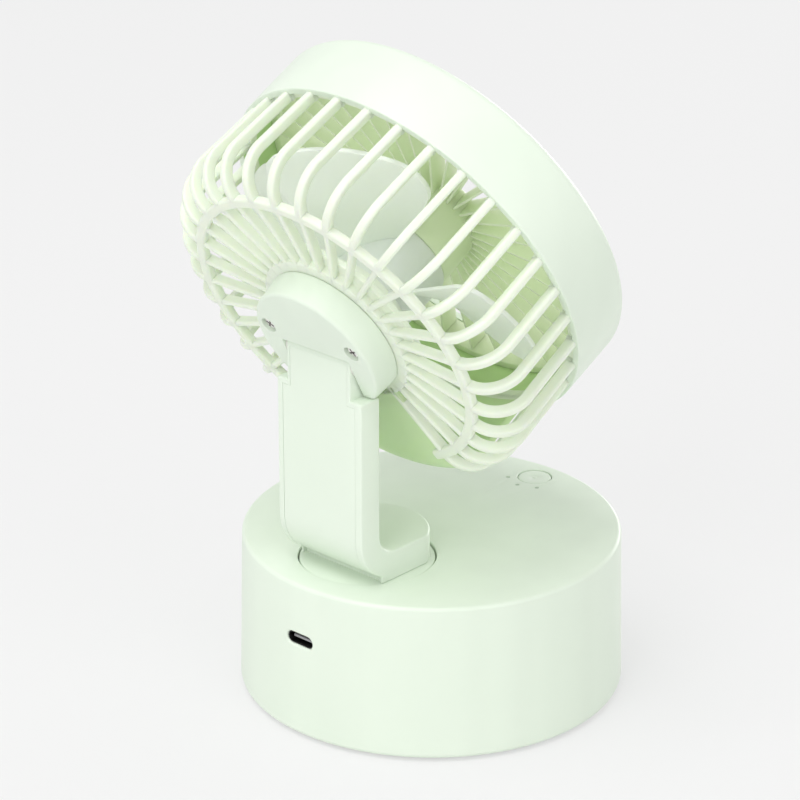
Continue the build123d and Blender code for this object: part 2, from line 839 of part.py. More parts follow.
def front_grille():
    low = shroud_lip_depth
    outer = fin_ring_outer
    ring = tube(outer, outer - fin_ring_width, low, low + fin_ring_depth)
    fin = block(cup_radius - 0.8, outer - fin_ring_width / 2, -fin_thickness / 2, fin_thickness / 2,
                fin_front, fin_rear)
    fins = [Rot(0, 0, fin_phase + 360 * i / fin_count) * fin for i in range(fin_count)]
    cup = turned((0, fin_front - 0.4 + cup_face_dish), (cup_radius * 0.7, fin_front - 0.4 + cup_face_dish * 0.4),
                 (cup_radius, fin_front - 0.4), (cup_radius, cup_rear), (cup_radius - cup_wall, cup_rear),
                 (cup_radius - cup_wall, fin_front + cup_face_dish + cup_face_thickness),
                 (0, fin_front + cup_face_dish + cup_face_thickness))
    return head * (ring + fins + cup)


def cage_profile(start_radius, bend_radius, thickness, root_rear, root_front):
    """Half of a cut through the cage, in the XZ plane: along the side, round the bend, to the hub."""
    k = sqrt(0.5)
    x = rib_bend_centre
    s = rib_bend_depth
    inner = bend_radius - thickness
    rear = s + bend_radius
    lines = [
        Line((start_radius, rib_start), (x + bend_radius, s)),
        ThreePointArc((x + bend_radius, s), (x + bend_radius * k, s + bend_radius * k), (x, rear)),
        Line((x, rear), (rib_root_radius, root_rear)),
        Line((rib_root_radius, root_rear), (rib_root_radius, root_front)),
        Line((rib_root_radius, root_front), (x, rear - thickness)),
        ThreePointArc((x, rear - thickness), (x + inner * k, s + inner * k), (x + inner, s)),
        Line((x + inner, s), (start_radius - thickness, rib_start)),
        Line((start_radius - thickness, rib_start), (start_radius, rib_start)),
    ]
    return make_face(Curve() + lines)


def rib_profile():
    return cage_profile(rib_start_radius, rib_bend_radius, rib_depth,
                        hub_rear, hub_rear - hub_thickness)


def panel_profile():
    """The plain panel behind the arm follows the ribs, a little sunk."""
    rear = rib_rear - panel_sunk
    return cage_profile(rib_start_radius - panel_sunk, rib_bend_radius - panel_sunk, panel_thickness,
                        rear, rear - panel_thickness)


def panel_plan():
    """The panel's outline seen from behind, flared towards the bottom."""
    top = panel_top_y
    low = top - head_radius
    narrow = panel_half_width_top
    wide = narrow + head_radius * tan(radians(panel_flare))
    return make_face(Polyline((-narrow, top), (narrow, top), (wide, low), (-wide, low), close=True))


def rib_angles():
    """The ribs that stand clear of the panel, as angles from the head's x axis."""
    free = []
    for i in range(rib_count):
        angle = 90 + 360 * i / rib_count
        x = hoop_radius * cos(radians(angle))
        y = hoop_radius * sin(radians(angle))
        edge = panel_half_width_top + (panel_top_y - y) * tan(radians(panel_flare))
        if y > 0 or abs(x) > edge + rib_width / 2:
            free.append(angle)
    return free


def rear_rib():
    """One rib: wide along the side and round the bend, narrower inside the hoop."""
    outer = extrude(Plane.XZ * rib_profile(), rib_width / 2, both=True)
    inner = extrude(Plane.XZ * rib_profile(), rib_inner_width / 2, both=True)
    foot = block(ring_inner, fin_ring_outer - seat_clearance, -rib_width / 2, rib_width / 2,
                 ring_rear - ring_sunk, rib_start + seat_clearance)
    return outer - rod(hoop_radius, 0, bracket_rear) + inner + foot


def grille_ring():
    """The ring that plugs into the front shroud, below its rear edge, and carries the ribs."""
    return tube(fin_ring_outer, ring_inner, shroud_depth - ring_plug_depth, ring_rear)


def grille_hub():
    """The collar that the ribs run into, a lower disc between them, and the motor's cup."""
    front = hub_rear - hub_thickness
    disc_rear = hub_rear - hub_disc_sunk
    cup = rod(fan_motor_radius + seat_clearance + motor_cup_wall, fan_motor_front + motor_cup_open, disc_rear)
    hub = rod(hub_collar_radius, front, hub_rear)
    hub += rod(hub_disc_radius, disc_rear - hub_disc_thickness, disc_rear)
    hub += cup
    for x in (-bracket_screw_x, bracket_screw_x):
        hub += rod(boss_radius, hub_rear - boss_depth, hub_rear, x, bracket_screw_y)
    return hub


def rear_grille():
    ribs = [Rot(0, 0, angle) * rear_rib() for angle in rib_angles()]
    wedge = extrude(panel_plan(), 2 * rib_rear)
    hoop = tube(hoop_radius + hoop_width / 2, hoop_radius - hoop_width / 2,
                rib_rear - hoop_depth, rib_rear) - wedge
    panel = revolve(Plane.XZ * panel_profile(), Axis.Z)
    panel = (panel + tube(fin_ring_outer, ring_inner, ring_rear - ring_sunk, rib_start)) & wedge
    grille = grille_hub() + grille_ring() + hoop + ribs + panel
    for x in (-bracket_screw_x, bracket_screw_x):
        grille -= rod(screw_radius + seat_clearance, hub_rear - bracket_screw_grip, hub_rear + 1,
                      x, bracket_screw_y)
    grille -= rod(fan_motor_radius + seat_clearance, fan_motor_front - 1, hub_rear - hub_thickness)
    return head * grille


def bracket_axle(radius, x_low, x_high):
    """A cylinder on the tilt axis, in the head's frame."""
    return bar_x(radius, x_low, x_high, -axis_below_centre, axis_behind_front)


def hinge_bracket():
    puck = turned((0, hub_rear), (bracket_front_radius, hub_rear), (bracket_rear_radius, bracket_rear),
                  (0, bracket_rear))
    puck = fillet(puck.edges().filter_by(GeomType.CIRCLE).sort_by(Axis.Z)[-1], bracket_edge_round)
    far = 2 * bracket_front_radius
    puck -= block(-notch_half_width, notch_half_width, -far, notch_top, hub_rear - 1, bracket_rear + 1)
    below = block(-far, far, -far, -axis_below_centre, hub_rear - 1, bracket_rear + 1)
    puck -= below - bracket_axle(bracket_leg_radius, -2 * far, 2 * far)
    depth = sqrt(bracket_rear_radius ** 2 - axis_below_centre ** 2) - bore_end_wall
    puck -= bracket_axle(axle_radius + running_clearance, -2 * depth, depth)
    seat = bracket_rear - bracket_screw_sunk - screw_head_height
    for x in (-bracket_screw_x, bracket_screw_x):
        puck -= rod(screw_radius + seat_clearance, hub_rear - 1, bracket_rear + 1, x, bracket_screw_y)
        puck -= rod(counterbore_radius, seat, bracket_rear + 1, x, bracket_screw_y)
    return head * puck


def bracket_screws():
    seat = bracket_rear - bracket_screw_sunk - screw_head_height
    length = seat - hub_rear + bracket_screw_grip - bore_end_gap
    return group([head * Pos(x, bracket_screw_y, seat) * pan_screw(length)
                  for x in (-bracket_screw_x, bracket_screw_x)])


# ---- fan motor and impeller -------------------------------------------------------------
def fan_motor():
    rear = hub_rear - hub_thickness
    can = rod(fan_motor_radius, fan_motor_front, rear)
    can = fillet(can.edges().filter_by(GeomType.CIRCLE).sort_by(Axis.Z)[0], 0.8)
    can += rod(fan_bush_radius, fan_motor_front - fan_bush_height, fan_motor_front + 1)
    for x, y in circle_points(motor_vent_circle, motor_vent_count):
        can -= rod(motor_vent_radius, fan_motor_front - 1, fan_motor_front + motor_vent_depth, x, y)
    can -= rod(fan_shaft_radius + running_clearance, fan_motor_front - 3, rear - 2)
    return head * can


def fan_shaft():
    return head * rod(fan_shaft_radius, impeller_front + impeller_wall, hub_rear - hub_thickness - 2.3)


def blade_section(reach):
    """A blade's cut on a plane that stands at a distance from the axis."""
    half = blade_span / 2
    margin = 5.0
    steps = [blade_span * i / 8 for i in range(9)]
    upper = []
    for phi in [-margin] + steps + [blade_span + margin]:
        across = reach * tan(radians(phi - half))
        share = max(phi, 0) / blade_span
        upper.append((across, blade_front + blade_rise * share ** blade_curve))
    lower = [(x, s + blade_thickness) for x, s in reversed(upper)]
    edges = [Spline(*upper), Line(upper[-1], lower[0]), Spline(*lower), Line(lower[-1], upper[0])]
    flat = make_face(Curve() + edges)
    middle = radians(half)
    place = Plane(origin=(reach * cos(middle), reach * sin(middle), 0),
                  x_dir=(-sin(middle), cos(middle), 0), z_dir=(cos(middle), sin(middle), 0))
    return place * flat


def nearest(shapes, point):
    """The edge or corner that lies nearest to a point."""
    return shapes.sort_by_distance(point)[0]


def blade_plan():
    """A blade's outline seen along the axis, with rounded tip corners."""
    root = impeller_hub_radius - impeller_wall / 2
    tip = blade_tip_radius
    ends = [0, radians(blade_span / 2), radians(blade_span)]
    inner = [(root * cos(a), root * sin(a)) for a in ends]
    outer = [(tip * cos(a), tip * sin(a)) for a in ends]
    face = make_face(Curve() + [Line(inner[0], outer[0]), ThreePointArc(*outer),
                                Line(outer[2], inner[2]), ThreePointArc(*reversed(inner))])
    face = fillet(nearest(face.vertices(), outer[0]), blade_lead_round)
    return fillet(nearest(face.vertices(), outer[2]), blade_trail_round)


def impeller():
    near = impeller_hub_radius - blade_overshoot
    web = loft([blade_section(near), blade_section(blade_tip_radius + blade_overshoot)], ruled=True)
    blade = web & extrude(blade_plan(), 60)
    blades = [Rot(0, 0, blade_start + 360 * i / blade_count) * blade for i in range(blade_count)]
    hub = turned((0, impeller_front), (impeller_hub_radius, impeller_front),
                 (impeller_hub_radius, impeller_rear), (impeller_hub_radius - impeller_wall, impeller_rear),
                 (impeller_hub_radius - impeller_wall, impeller_front + impeller_wall),
                 (0, impeller_front + impeller_wall))
    front_edge = hub.edges().filter_by(GeomType.CIRCLE).sort_by(Axis.Z)[:1].sort_by(SortBy.RADIUS)[-1]
    hub = fillet(front_edge, impeller_round)
    boss_rear = fan_motor_front - fan_bush_height - turning_clearance
    hub += rod(impeller_boss_radius, impeller_front + 1, boss_rear)
    hub += blades
    hub -= rod(fan_shaft_radius + press_clearance, impeller_front + impeller_wall, boss_rear + 1)
    return head * hub


parts = {
    "base_shell": base_shell,
    "base_cover": base_cover,
    "anti_slip_pad": anti_slip_pad,
    "base_screws": base_screws,
    "battery_cell": battery_cell,
    "power_button": power_button,
    "switch_plunger": switch_plunger,
    "tactile_switch": tactile_switch,
    "light_pipes": light_pipes,
    "board_lights": board_lights,
    "control_board": control_board,
    "board_screws": board_screws,
    "socket_shell": socket_shell,
    "socket_tongue": socket_tongue,
    "charge_board": charge_board,
    "charge_board_screws": charge_board_screws,
    "swivel_motor": swivel_motor,
    "swivel_motor_screws": swivel_motor_screws,
    "drive_shaft": drive_shaft,
    "drive_pinion": drive_pinion,
    "turntable_washer": turntable_washer,
    "turntable": turntable,
    "swivel_gear": swivel_gear,
    "gear_screws": gear_screws,
    "foot_screws": foot_screws,
    "arm_frame": arm_frame,
    "arm_rear_cover": arm_rear_cover,
    "tilt_axle": tilt_axle,
    "friction_washers": friction_washers,
    "front_shroud": front_shroud,
    "front_grille": front_grille,
    "rear_grille": rear_grille,
    "hinge_bracket": hinge_bracket,
    "bracket_screws": bracket_screws,
    "fan_motor": fan_motor,
    "fan_shaft": fan_shaft,
    "impeller": impeller,
}

os.makedirs("parts", exist_ok=True)
for name, make in parts.items():
    export_step(make(), f"parts/{name}.step")
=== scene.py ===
from math import acos, asin, atan2, cos, degrees, pi, radians, sin, sqrt, tan

import bmesh
import bpy
from mathutils import Matrix, Vector


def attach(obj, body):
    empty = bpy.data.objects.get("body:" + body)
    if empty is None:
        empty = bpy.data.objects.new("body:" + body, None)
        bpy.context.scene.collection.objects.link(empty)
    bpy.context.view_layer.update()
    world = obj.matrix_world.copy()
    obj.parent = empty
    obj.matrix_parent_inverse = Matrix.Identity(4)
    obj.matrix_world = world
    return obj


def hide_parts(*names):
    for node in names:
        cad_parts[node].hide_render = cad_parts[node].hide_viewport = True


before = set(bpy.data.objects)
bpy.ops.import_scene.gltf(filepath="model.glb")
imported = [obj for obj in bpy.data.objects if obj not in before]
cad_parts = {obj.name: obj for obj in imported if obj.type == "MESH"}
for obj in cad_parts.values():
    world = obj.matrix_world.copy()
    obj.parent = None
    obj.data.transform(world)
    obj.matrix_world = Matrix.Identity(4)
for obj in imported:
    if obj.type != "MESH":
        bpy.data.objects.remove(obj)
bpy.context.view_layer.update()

MM = 0.001

# Sizes are in millimetres and follow the solids. Only here, the front cup flares to the rear
# and the running gaps at both ends of the impeller's hub are narrower.

# ---- sizes of the base -------------------------------------------------------------------
BASE_BOTTOM_RADIUS = 52.5
BASE_TOP_RADIUS = 51.5
BASE_HEIGHT = 44.5
BASE_FOOT = 0.8
BASE_WALL = 2.2
BASE_TOP_ROUND = 1.2
BASE_BOTTOM_ROUND = 1.5
ROOF = 2.6
SWIVEL_Y = 25.5
TURNTABLE_RADIUS = 18.2
TURNTABLE_TOP = 44.0
TURNTABLE_BOTTOM = 41.0
TURNTABLE_ROUND = 0.45
NECK_RADIUS = 12.0
NECK_BOTTOM = 37.5
WELL_RADIUS = 18.55
WELL_FLOOR = 40.5
WELL_FLOOR_THICK = 2.5
WELL_WALL = 2.0
BUTTON_Y = -43.0
BUTTON_RADIUS = 4.6
BUTTON_HOLE = 4.85
BUTTON_TOP = 44.35
BUTTON_ROUND = 0.4
BUTTON_DISH = 0.05
BUTTON_RING = (0.45, 1.0)
BUTTON_RING_SLOPE = 0.15
BUTTON_RING_DEPTH = 0.1
FLANGE_RADIUS = 5.3
FLANGE_TOP = 42.2
FLANGE_BOTTOM = 41.4
GUIDE_RADIUS = 6.6
GUIDE_BOTTOM = 36.0
INSIDE_ROOF = 42.5
LIGHT_CIRCLE = 7.5
LIGHT_RADIUS = 0.6
LIGHT_ANGLES = (45, 90, 135)
LIGHT_TOP = 44.4
LIGHT_BOTTOM = 39.0
LIGHT_GAP = 0.03
PORT_Z = 28.6
PORT_OPENING = (9.14, 3.46)
PORT_FUNNEL = ((-0.5, 0.0), (-0.35, 0.12), (-0.15, 0.32), (0.6, 1.1))
PORT_SHELL = (8.94, 3.26)
PORT_WALL = 0.3
PORT_SUNK = 0.7
PORT_DEPTH = 7.3
PORT_BACK = 1.2
TONGUE_BLADE = (3.35, 0.35, 5.2)
CONTACT_COUNT = 12
CONTACT_PITCH = 0.5
CONTACT_SIZE = (0.13, 0.03, 4.6)
CONTACT_LIFT = 0.36

# ---- sizes of the arm --------------------------------------------------------------------
ARM_HALF = 14.95
ARM_REAR = 43.6
ARM_FRONT = 36.4
FOOT_TOP = 52.3
FOOT_NOSE = 16.65
BEND = 6.0
BEND_OUTER = 13.2
BEND_Y = 30.4
BEND_Z = 58.3
HEEL_Y = 35.5
SHOULDER = 97.5
TONGUE_HALF = 11.2
ARM_ROUND = 0.7
TONGUE_ROUND = 0.35
TILT_Y = 40.0
TILT_Z = 107.05
PLATE = 1.6
PLATE_GAP = 0.09
PLATE_SEAT = 0.1
PLATE_ROUND = 0.12
PLATE_DROP = 1.5
PLATE_BORDER = 2.0
TONGUE_BORDER = 1.0
HEEL_RECESS = (1.0, 1.2, 1.9)

# ---- sizes of the head, in its own frame: s is the depth behind its front ----------------
HEAD_TILT = radians(27.5)
AXIS_S = 55.8
AXIS_V = -3.4
HEAD_R = 55.5
SHROUD_DEPTH = 21.2
SHROUD_WALL = 1.9
SHROUD_LIP_R = 51.0
SHROUD_LIP = 2.0
RIB_COUNT = 34
RIB_WIDTH = 2.4
RIB_INNER_WIDTH = 1.7
RIB_DEPTH = 2.9
RIB_BEND = 10.5
RIB_REAR = 52.2
RIB_START_R = 54.66
RING_INNER = 51.76
RING_OUTER = 53.5
RING_FRONT = 17.6
RING_REAR = 20.3
RIB_START_S = 21.3
RIB_SUNK = 0.25
HUB_REAR = 50.8
HUB_COLLAR = 22.8
HUB_DISC = 27.4
HUB_DISC_THICK = 1.8
HUB_STEP = 2.0
HUB_THICK = 2.2
MOTOR_CUP_R = 14.1
MOTOR_CUP_INNER = 12.3
MOTOR_CUP_FRONT = 39.0
BOSS_R = 2.3
BOSS_DEPTH = 6.0
HOOP_R = 43.5
HOOP_WIDTH = 3.0
HOOP_DEPTH = 2.4
PANEL_SUNK = 1.4
PANEL_THICK = 1.8
PANEL_HALF = 13.0
PANEL_TOP = -17.5
PANEL_FLARE = radians(19)
RIB_ROOT = 20.5

BRACKET_FRONT_R = 20.05
BRACKET_REAR_R = 19.45
BRACKET_REAR = 59.2
BRACKET_NECK = (0.6, 0.22)
NOTCH_HALF = 11.8
NOTCH_TOP = 0.5
LEG_RADIUS = 9.2
SCREW_X = 14.63
SCREW_Y = 4.45
SCREW_HEAD = (1.95, 1.6)
SCREW_SHANK = (1.0, 5.0)
SCREW_CROSS = (1.3, 0.27, 1.1)
SCREW_TURNS = {"right": 24, "left": 61}
SCREW_SEAT = BRACKET_REAR - 0.9 - 1.3
SCREW_WELL_R = 2.3

FIN_COUNT = 32
FIN_PHASE = 3.25
FIN_THICK = 1.1
FIN_FRONT = 2.4
FIN_REAR = 8.4
FIN_TAPER = 0.6
FIN_SUNK = 0.8
FIN_END = 52.4
# Depth of the painted highlight on the fins' rear edges.
FIN_HIGHLIGHT_DEPTH = 0.12
GRILLE_RIM = (2.2, 2.0, 9.0)
CUP_R = 12.0
CUP_FACE = ((0, 3.2), (8.4, 2.5), (CUP_R, 2.0))
CUP_REAR = 21.1
CUP_FLARE = 0.7
CUP_WALL = 1.6
CUP_FLOOR = 5.2

BLADE_COUNT = 4
BLADE_START = 52.0
BLADE_SPAN = 62.0
BLADE_FRONT = 22.9
BLADE_RISE = 14.4
BLADE_CURVE = 1.3
BLADE_THICK = 1.3
BLADE_SUNK = 0.6
BLADE_TIP = 46.0
LEAD_ROUND = 9.0
TRAIL_ROUND = 5.0
HUB_R = 13.0
HUB_FRONT = 21.4
HUB_END = 38.8
HUB_WALL = 1.6
SHAFT_BOSS_R = 3.2
SHAFT_BOSS_END = 37.5

# ---- stage and camera --------------------------------------------------------------------
BACKDROP = (0.913, 0.913, 0.913)
FLOOR_COLOR = (0.84, 0.84, 0.84)
FLOOR_GLOW = 0.6
FLOOR_HALF = 4000
WORLD_LIGHT = 0.6
CAMERA_AZIMUTH = 222.75
CAMERA_ELEVATION = 22.98
CAMERA_DISTANCE = 0.9
CAMERA_TARGET = (0.004169, 0.00816, 0.082543)
CAMERA_LENS = 151.91

LATHE_STEPS = 192

head_y = TILT_Y - AXIS_S * cos(HEAD_TILT) - AXIS_V * sin(HEAD_TILT)
head_z = TILT_Z + AXIS_S * sin(HEAD_TILT) - AXIS_V * cos(HEAD_TILT)
HEAD = Matrix((
    (-1, 0, 0, 0),
    (0, sin(HEAD_TILT), cos(HEAD_TILT), head_y),
    (0, cos(HEAD_TILT), -sin(HEAD_TILT), head_z),
    (0, 0, 0, 1),
))
WORLD = Matrix.Identity(4)


# ---- mesh helpers ------------------------------------------------------------------------
def build(name, verts, faces, place=WORLD):
    """A mesh object from points in millimetres, set into the row frame."""
    mesh = bpy.data.meshes.new(name)
    mesh.from_pydata([place @ Vector(v) * MM for v in verts], [], faces)
    bm = bmesh.new()
    bm.from_mesh(mesh)
    bmesh.ops.remove_doubles(bm, verts=bm.verts, dist=1e-7)
    bmesh.ops.recalc_face_normals(bm, faces=bm.faces)
    bm.to_mesh(mesh)
    bm.free()
    obj = bpy.data.objects.new(name, mesh)
    bpy.context.scene.collection.objects.link(obj)
    return obj


def join_parts(name, parts, place=WORLD):
    """One object from several (verts, faces) pairs."""
    verts, faces = [], []
    for part_verts, part_faces in parts:
        offset = len(verts)
        verts += part_verts
        faces += [[i + offset for i in face] for face in part_faces]
    return build(name, verts, faces, place)


def rounded(points, radii, steps=5):
    """A closed outline with each corner rounded by its own radius."""
    out = []
    for i, (point, radius) in enumerate(zip(points, radii)):
        here = Vector(point)
        if radius <= 0:
            out.append(tuple(here))
            continue
        back = (Vector(points[i - 1]) - here).normalized()
        ahead = (Vector(points[(i + 1) % len(points)]) - here).normalized()
        corner = acos(max(-1, min(1, back.dot(ahead))))
        cut = radius / tan(corner / 2)
        centre = here + (back + ahead).normalized() * (radius / sin(corner / 2))
        first = here + back * cut - centre
        last = here + ahead * cut - centre
        start = atan2(first.y, first.x)
        turn = atan2(last.y, last.x) - start
        turn = (turn + pi) % (2 * pi) - pi
        for k in range(steps + 1):
            a = start + turn * k / steps
            out.append((centre.x + radius * cos(a), centre.y + radius * sin(a)))
    return out


def lathe(outline, steps=LATHE_STEPS, centre=(0, 0), sweep=None):
    """A closed (radius, height) outline turned about Z, or part of the way round."""
    start, end = sweep or (0, 2 * pi)
    whole = sweep is None
    stations = steps if whole else steps + 1
    verts, faces = [], []
    count = len(outline)
    for k in range(stations):
        a = start + (end - start) * k / steps
        verts += [(centre[0] + r * cos(a), centre[1] + r * sin(a), z) for r, z in outline]
    for k in range(steps):
        j = (k + 1) % stations
        for i in range(count):
            n = (i + 1) % count
            faces.append([k * count + i, k * count + n, j * count + n, j * count + i])
    if not whole:
        faces.append(list(range(count)))
        faces.append([(stations - 1) * count + i for i in reversed(range(count))])
    return verts, faces


def turned(name, outline, place=WORLD, centre=(0, 0), steps=LATHE_STEPS):
    """A turned solid whose outline may touch the axis; the points there are merged."""
    obj = join_parts(name, [lathe([(max(r, 0), z) for r, z in outline], steps, centre)], place)
    bm = bmesh.new()
    bm.from_mesh(obj.data)
    bmesh.ops.dissolve_degenerate(bm, dist=1e-7, edges=bm.edges)
    bm.to_mesh(obj.data)
    bm.free()
    return obj


def prism(outline, low, high, axis="z"):
    """A closed outline pushed from low to high along an axis."""
    order = {
        "x": lambda a, b, h: (h, a, b),
        "y": lambda a, b, h: (a, h, b),
        "z": lambda a, b, h: (a, b, h),
    }[axis]
    count = len(outline)
    verts = [order(a, b, low) for a, b in outline] + [order(a, b, high) for a, b in outline]
    faces = [list(range(count)), list(range(2 * count - 1, count - 1, -1))]
    faces += [[i, (i + 1) % count, count + (i + 1) % count, count + i] for i in range(count)]
    return verts, faces


def tube_faces(count, stations):
    """The faces of a closed tube whose stations have count points each, with both ends shut."""
    faces = []
    for k in range(stations - 1):
        faces += [[k * count + i, k * count + (i + 1) % count, (k + 1) * count + (i + 1) % count,
                   (k + 1) * count + i] for i in range(count)]
    faces.append(list(range(count)))
    faces.append([(stations - 1) * count + i for i in reversed(range(count))])
    return faces


def slab_faces(wide, tall):
    """The faces of a closed slab made of two layers of wide by tall points."""
    layer = wide * tall
    faces = []
    for base in (0, layer):
        for j in range(tall - 1):
            for i in range(wide - 1):
                a = base + j * wide + i
                faces.append([a, a + 1, a + wide + 1, a + wide])
    for i in range(wide - 1):
        for j in (0, tall - 1):
            a = j * wide + i
            faces.append([a, a + 1, layer + a + 1, layer + a])
    for j in range(tall - 1):
        for i in (0, wide - 1):
            a = j * wide + i
            faces.append([a, a + wide, layer + a + wide, layer + a])
    return faces


def rectangle(x0, x1, y0, y1):
    return [(x0, y0), (x1, y0), (x1, y1), (x0, y1)]


def stadium(width, height, x=0.0, y=0.0, steps=16):
    """A slot's outline with round ends."""
    r = height / 2
    reach = width / 2 - r
    turns = [pi * (k / steps - 0.5) for k in range(steps + 1)]
    right = [(x + reach + r * cos(a), y + r * sin(a)) for a in turns]
    left = [(x - reach - r * cos(a), y - r * sin(a)) for a in turns]
    return right + left


def arc(cx, cy, r, start, end, steps):
    """Points on an arc, angles in degrees."""
    turns = [radians(start + (end - start) * k / steps) for k in range(steps + 1)]
    return [(cx + r * cos(a), cy + r * sin(a)) for a in turns]


def settle(obj):
    """Applies the object's modifiers."""
    deps = bpy.context.evaluated_depsgraph_get()
    mesh = bpy.data.meshes.new_from_object(obj.evaluated_get(deps))
    obj.modifiers.clear()
    obj.data = mesh
    return obj


def combine(obj, tools, operation):
    """Joins, cuts or intersects obj with each tool, and throws the tools away."""
    for tool in tools:
        mod = obj.modifiers.new("combine", "BOOLEAN")
        mod.operation = operation
        mod.solver = "EXACT"
        mod.object = tool
        bpy.context.view_layer.update()
        settle(obj)
        bpy.data.objects.remove(tool)
    return obj


def soften(obj, width, segments=3, angle=32):
    """Rounds the sharp edges and shades the rest smooth."""
    mod = obj.modifiers.new("soften", "BEVEL")
    mod.width = width * MM
    mod.segments = segments
    mod.limit_method = "ANGLE"
    mod.angle_limit = radians(angle)
    mod.use_clamp_overlap = True
    mod.harden_normals = False
    bpy.context.view_layer.update()
    return settle(obj)


def shade(obj, angle=40):
    obj.data.shade_smooth()
    obj.data.set_sharp_from_angle(angle=radians(angle))
    return obj


def paint(obj, material, inside):
    """A second colour on the head's faces whose radius and depth pass the test, here painted shade
    and painted highlights.
    """
    obj.data.materials.append(material)
    back = HEAD.inverted()
    for face in obj.data.polygons:
        here = back @ (face.center / MM)
        if inside(sqrt(here.x ** 2 + here.y ** 2), here.z):
            face.material_index = 1


def dress(obj, material, body=None, stands_for=(), angle=40):
    """Gives a piece its finish and tells the frame what it is."""
    shade(obj, angle)
    obj.data.materials.clear()
    obj.data.materials.append(material)
    if body:
        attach(obj, body)
        if stands_for:
            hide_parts(*stands_for)
    return obj


# ---- materials ---------------------------------------------------------------------------
def noise(nodes, links, coords, scale, detail=3.0, roughness=0.5):
    node = nodes.new("ShaderNodeTexNoise")
    node.inputs["Scale"].default_value = scale
    node.inputs["Detail"].default_value = detail
    node.inputs["Roughness"].default_value = roughness
    links.new(coords, node.inputs["Vector"])
    return node


def ramp(nodes, links, source, stops):
    node = nodes.new("ShaderNodeValToRGB")
    links.new(source, node.inputs["Fac"])
    elements = node.color_ramp.elements
    for element, (place, color) in zip(elements, stops):
        element.position = place
        element.color = (*color, 1)
    return node


def base_material(name):
    material = bpy.data.materials.new(name)
    material.use_nodes = True
    nodes = material.node_tree.nodes
    links = material.node_tree.links
    shader = nodes["Principled BSDF"]
    coords = nodes.new("ShaderNodeTexCoord").outputs["Object"]
    return material, nodes, links, shader, coords


def moulded(name, dark, light, rough=(0.34, 0.42), grain=1500, grain_depth=0.04, scatter=0.0,
            radius=(0.6, 1.0, 0.5), streaks=0.0):
    """Satin moulded plastic: slow shifts of tone, a fine grain, upright stripes of painted softbox
    reflection if asked.
    """
    material, nodes, links, shader, coords = base_material(name)
    slow = noise(nodes, links, coords, 22, 2)
    tone = ramp(nodes, links, slow.outputs["Fac"], [(0.3, dark), (0.7, light)]).outputs["Color"]
    # The streaks are painted reflection: faint upright darker bands that stand in for softbox
    # reflections on the sides.
    if streaks:
        mapping = nodes.new("ShaderNodeMapping")
        mapping.inputs["Scale"].default_value = (1, 1, 0.02)
        links.new(coords, mapping.inputs["Vector"])
        reflection_stripes = noise(nodes, links, mapping.outputs["Vector"], 90, 1)
        shades = [(0.35, (1 - streaks,) * 3), (0.65, (1, 1, 1))]
        shades = ramp(nodes, links, reflection_stripes.outputs["Fac"], shades)
        mix = nodes.new("ShaderNodeMix")
        mix.data_type = "RGBA"
        mix.blend_type = "MULTIPLY"
        mix.inputs["Factor"].default_value = 1.0
        links.new(tone, mix.inputs["A"])
        links.new(shades.outputs["Color"], mix.inputs["B"])
        tone = mix.outputs["Result"]
    links.new(tone, shader.inputs["Base Color"])
    patch = noise(nodes, links, coords, 160, 4)
    span = nodes.new("ShaderNodeMapRange")
    span.inputs["From Min"].default_value = 0.3
    span.inputs["From Max"].default_value = 0.7
    span.inputs["To Min"].default_value = rough[0]
    span.inputs["To Max"].default_value = rough[1]
    links.new(patch.outputs["Fac"], span.inputs["Value"])
    links.new(span.outputs["Result"], shader.inputs["Roughness"])
    fine = noise(nodes, links, coords, grain, 2)
    bump = nodes.new("ShaderNodeBump")
    bump.inputs["Strength"].default_value = 0.12
    bump.inputs["Distance"].default_value = grain_depth * MM
    links.new(fine.outputs["Fac"], bump.inputs["Height"])
    links.new(bump.outputs["Normal"], shader.inputs["Normal"])
    shader.inputs["IOR"].default_value = 1.49
    shader.inputs["Subsurface Weight"].default_value = scatter
    shader.inputs["Subsurface Radius"].default_value = radius
    shader.inputs["Subsurface Scale"].default_value = 0.003
    return material


def metal(name, dark, light, rough=(0.22, 0.38), stretch=(1, 1, 1), scale=900):
    """Plated or drawn metal with fine streaks."""
    material, nodes, links, shader, coords = base_material(name)
    mapping = nodes.new("ShaderNodeMapping")
    mapping.inputs["Scale"].default_value = stretch
    links.new(coords, mapping.inputs["Vector"])
    streaks = noise(nodes, links, mapping.outputs["Vector"], scale, 4, 0.6)
    tone = ramp(nodes, links, streaks.outputs["Fac"], [(0.3, dark), (0.7, light)])
    links.new(tone.outputs["Color"], shader.inputs["Base Color"])
    span = nodes.new("ShaderNodeMapRange")
    span.inputs["To Min"].default_value = rough[0]
    span.inputs["To Max"].default_value = rough[1]
    links.new(streaks.outputs["Fac"], span.inputs["Value"])
    links.new(span.outputs["Result"], shader.inputs["Roughness"])
    bump = nodes.new("ShaderNodeBump")
    bump.inputs["Strength"].default_value = 0.1
    bump.inputs["Distance"].default_value = 0.02 * MM
    links.new(streaks.outputs["Fac"], bump.inputs["Height"])
    links.new(bump.outputs["Normal"], shader.inputs["Normal"])
    shader.inputs["Metallic"].default_value = 1.0
    return material
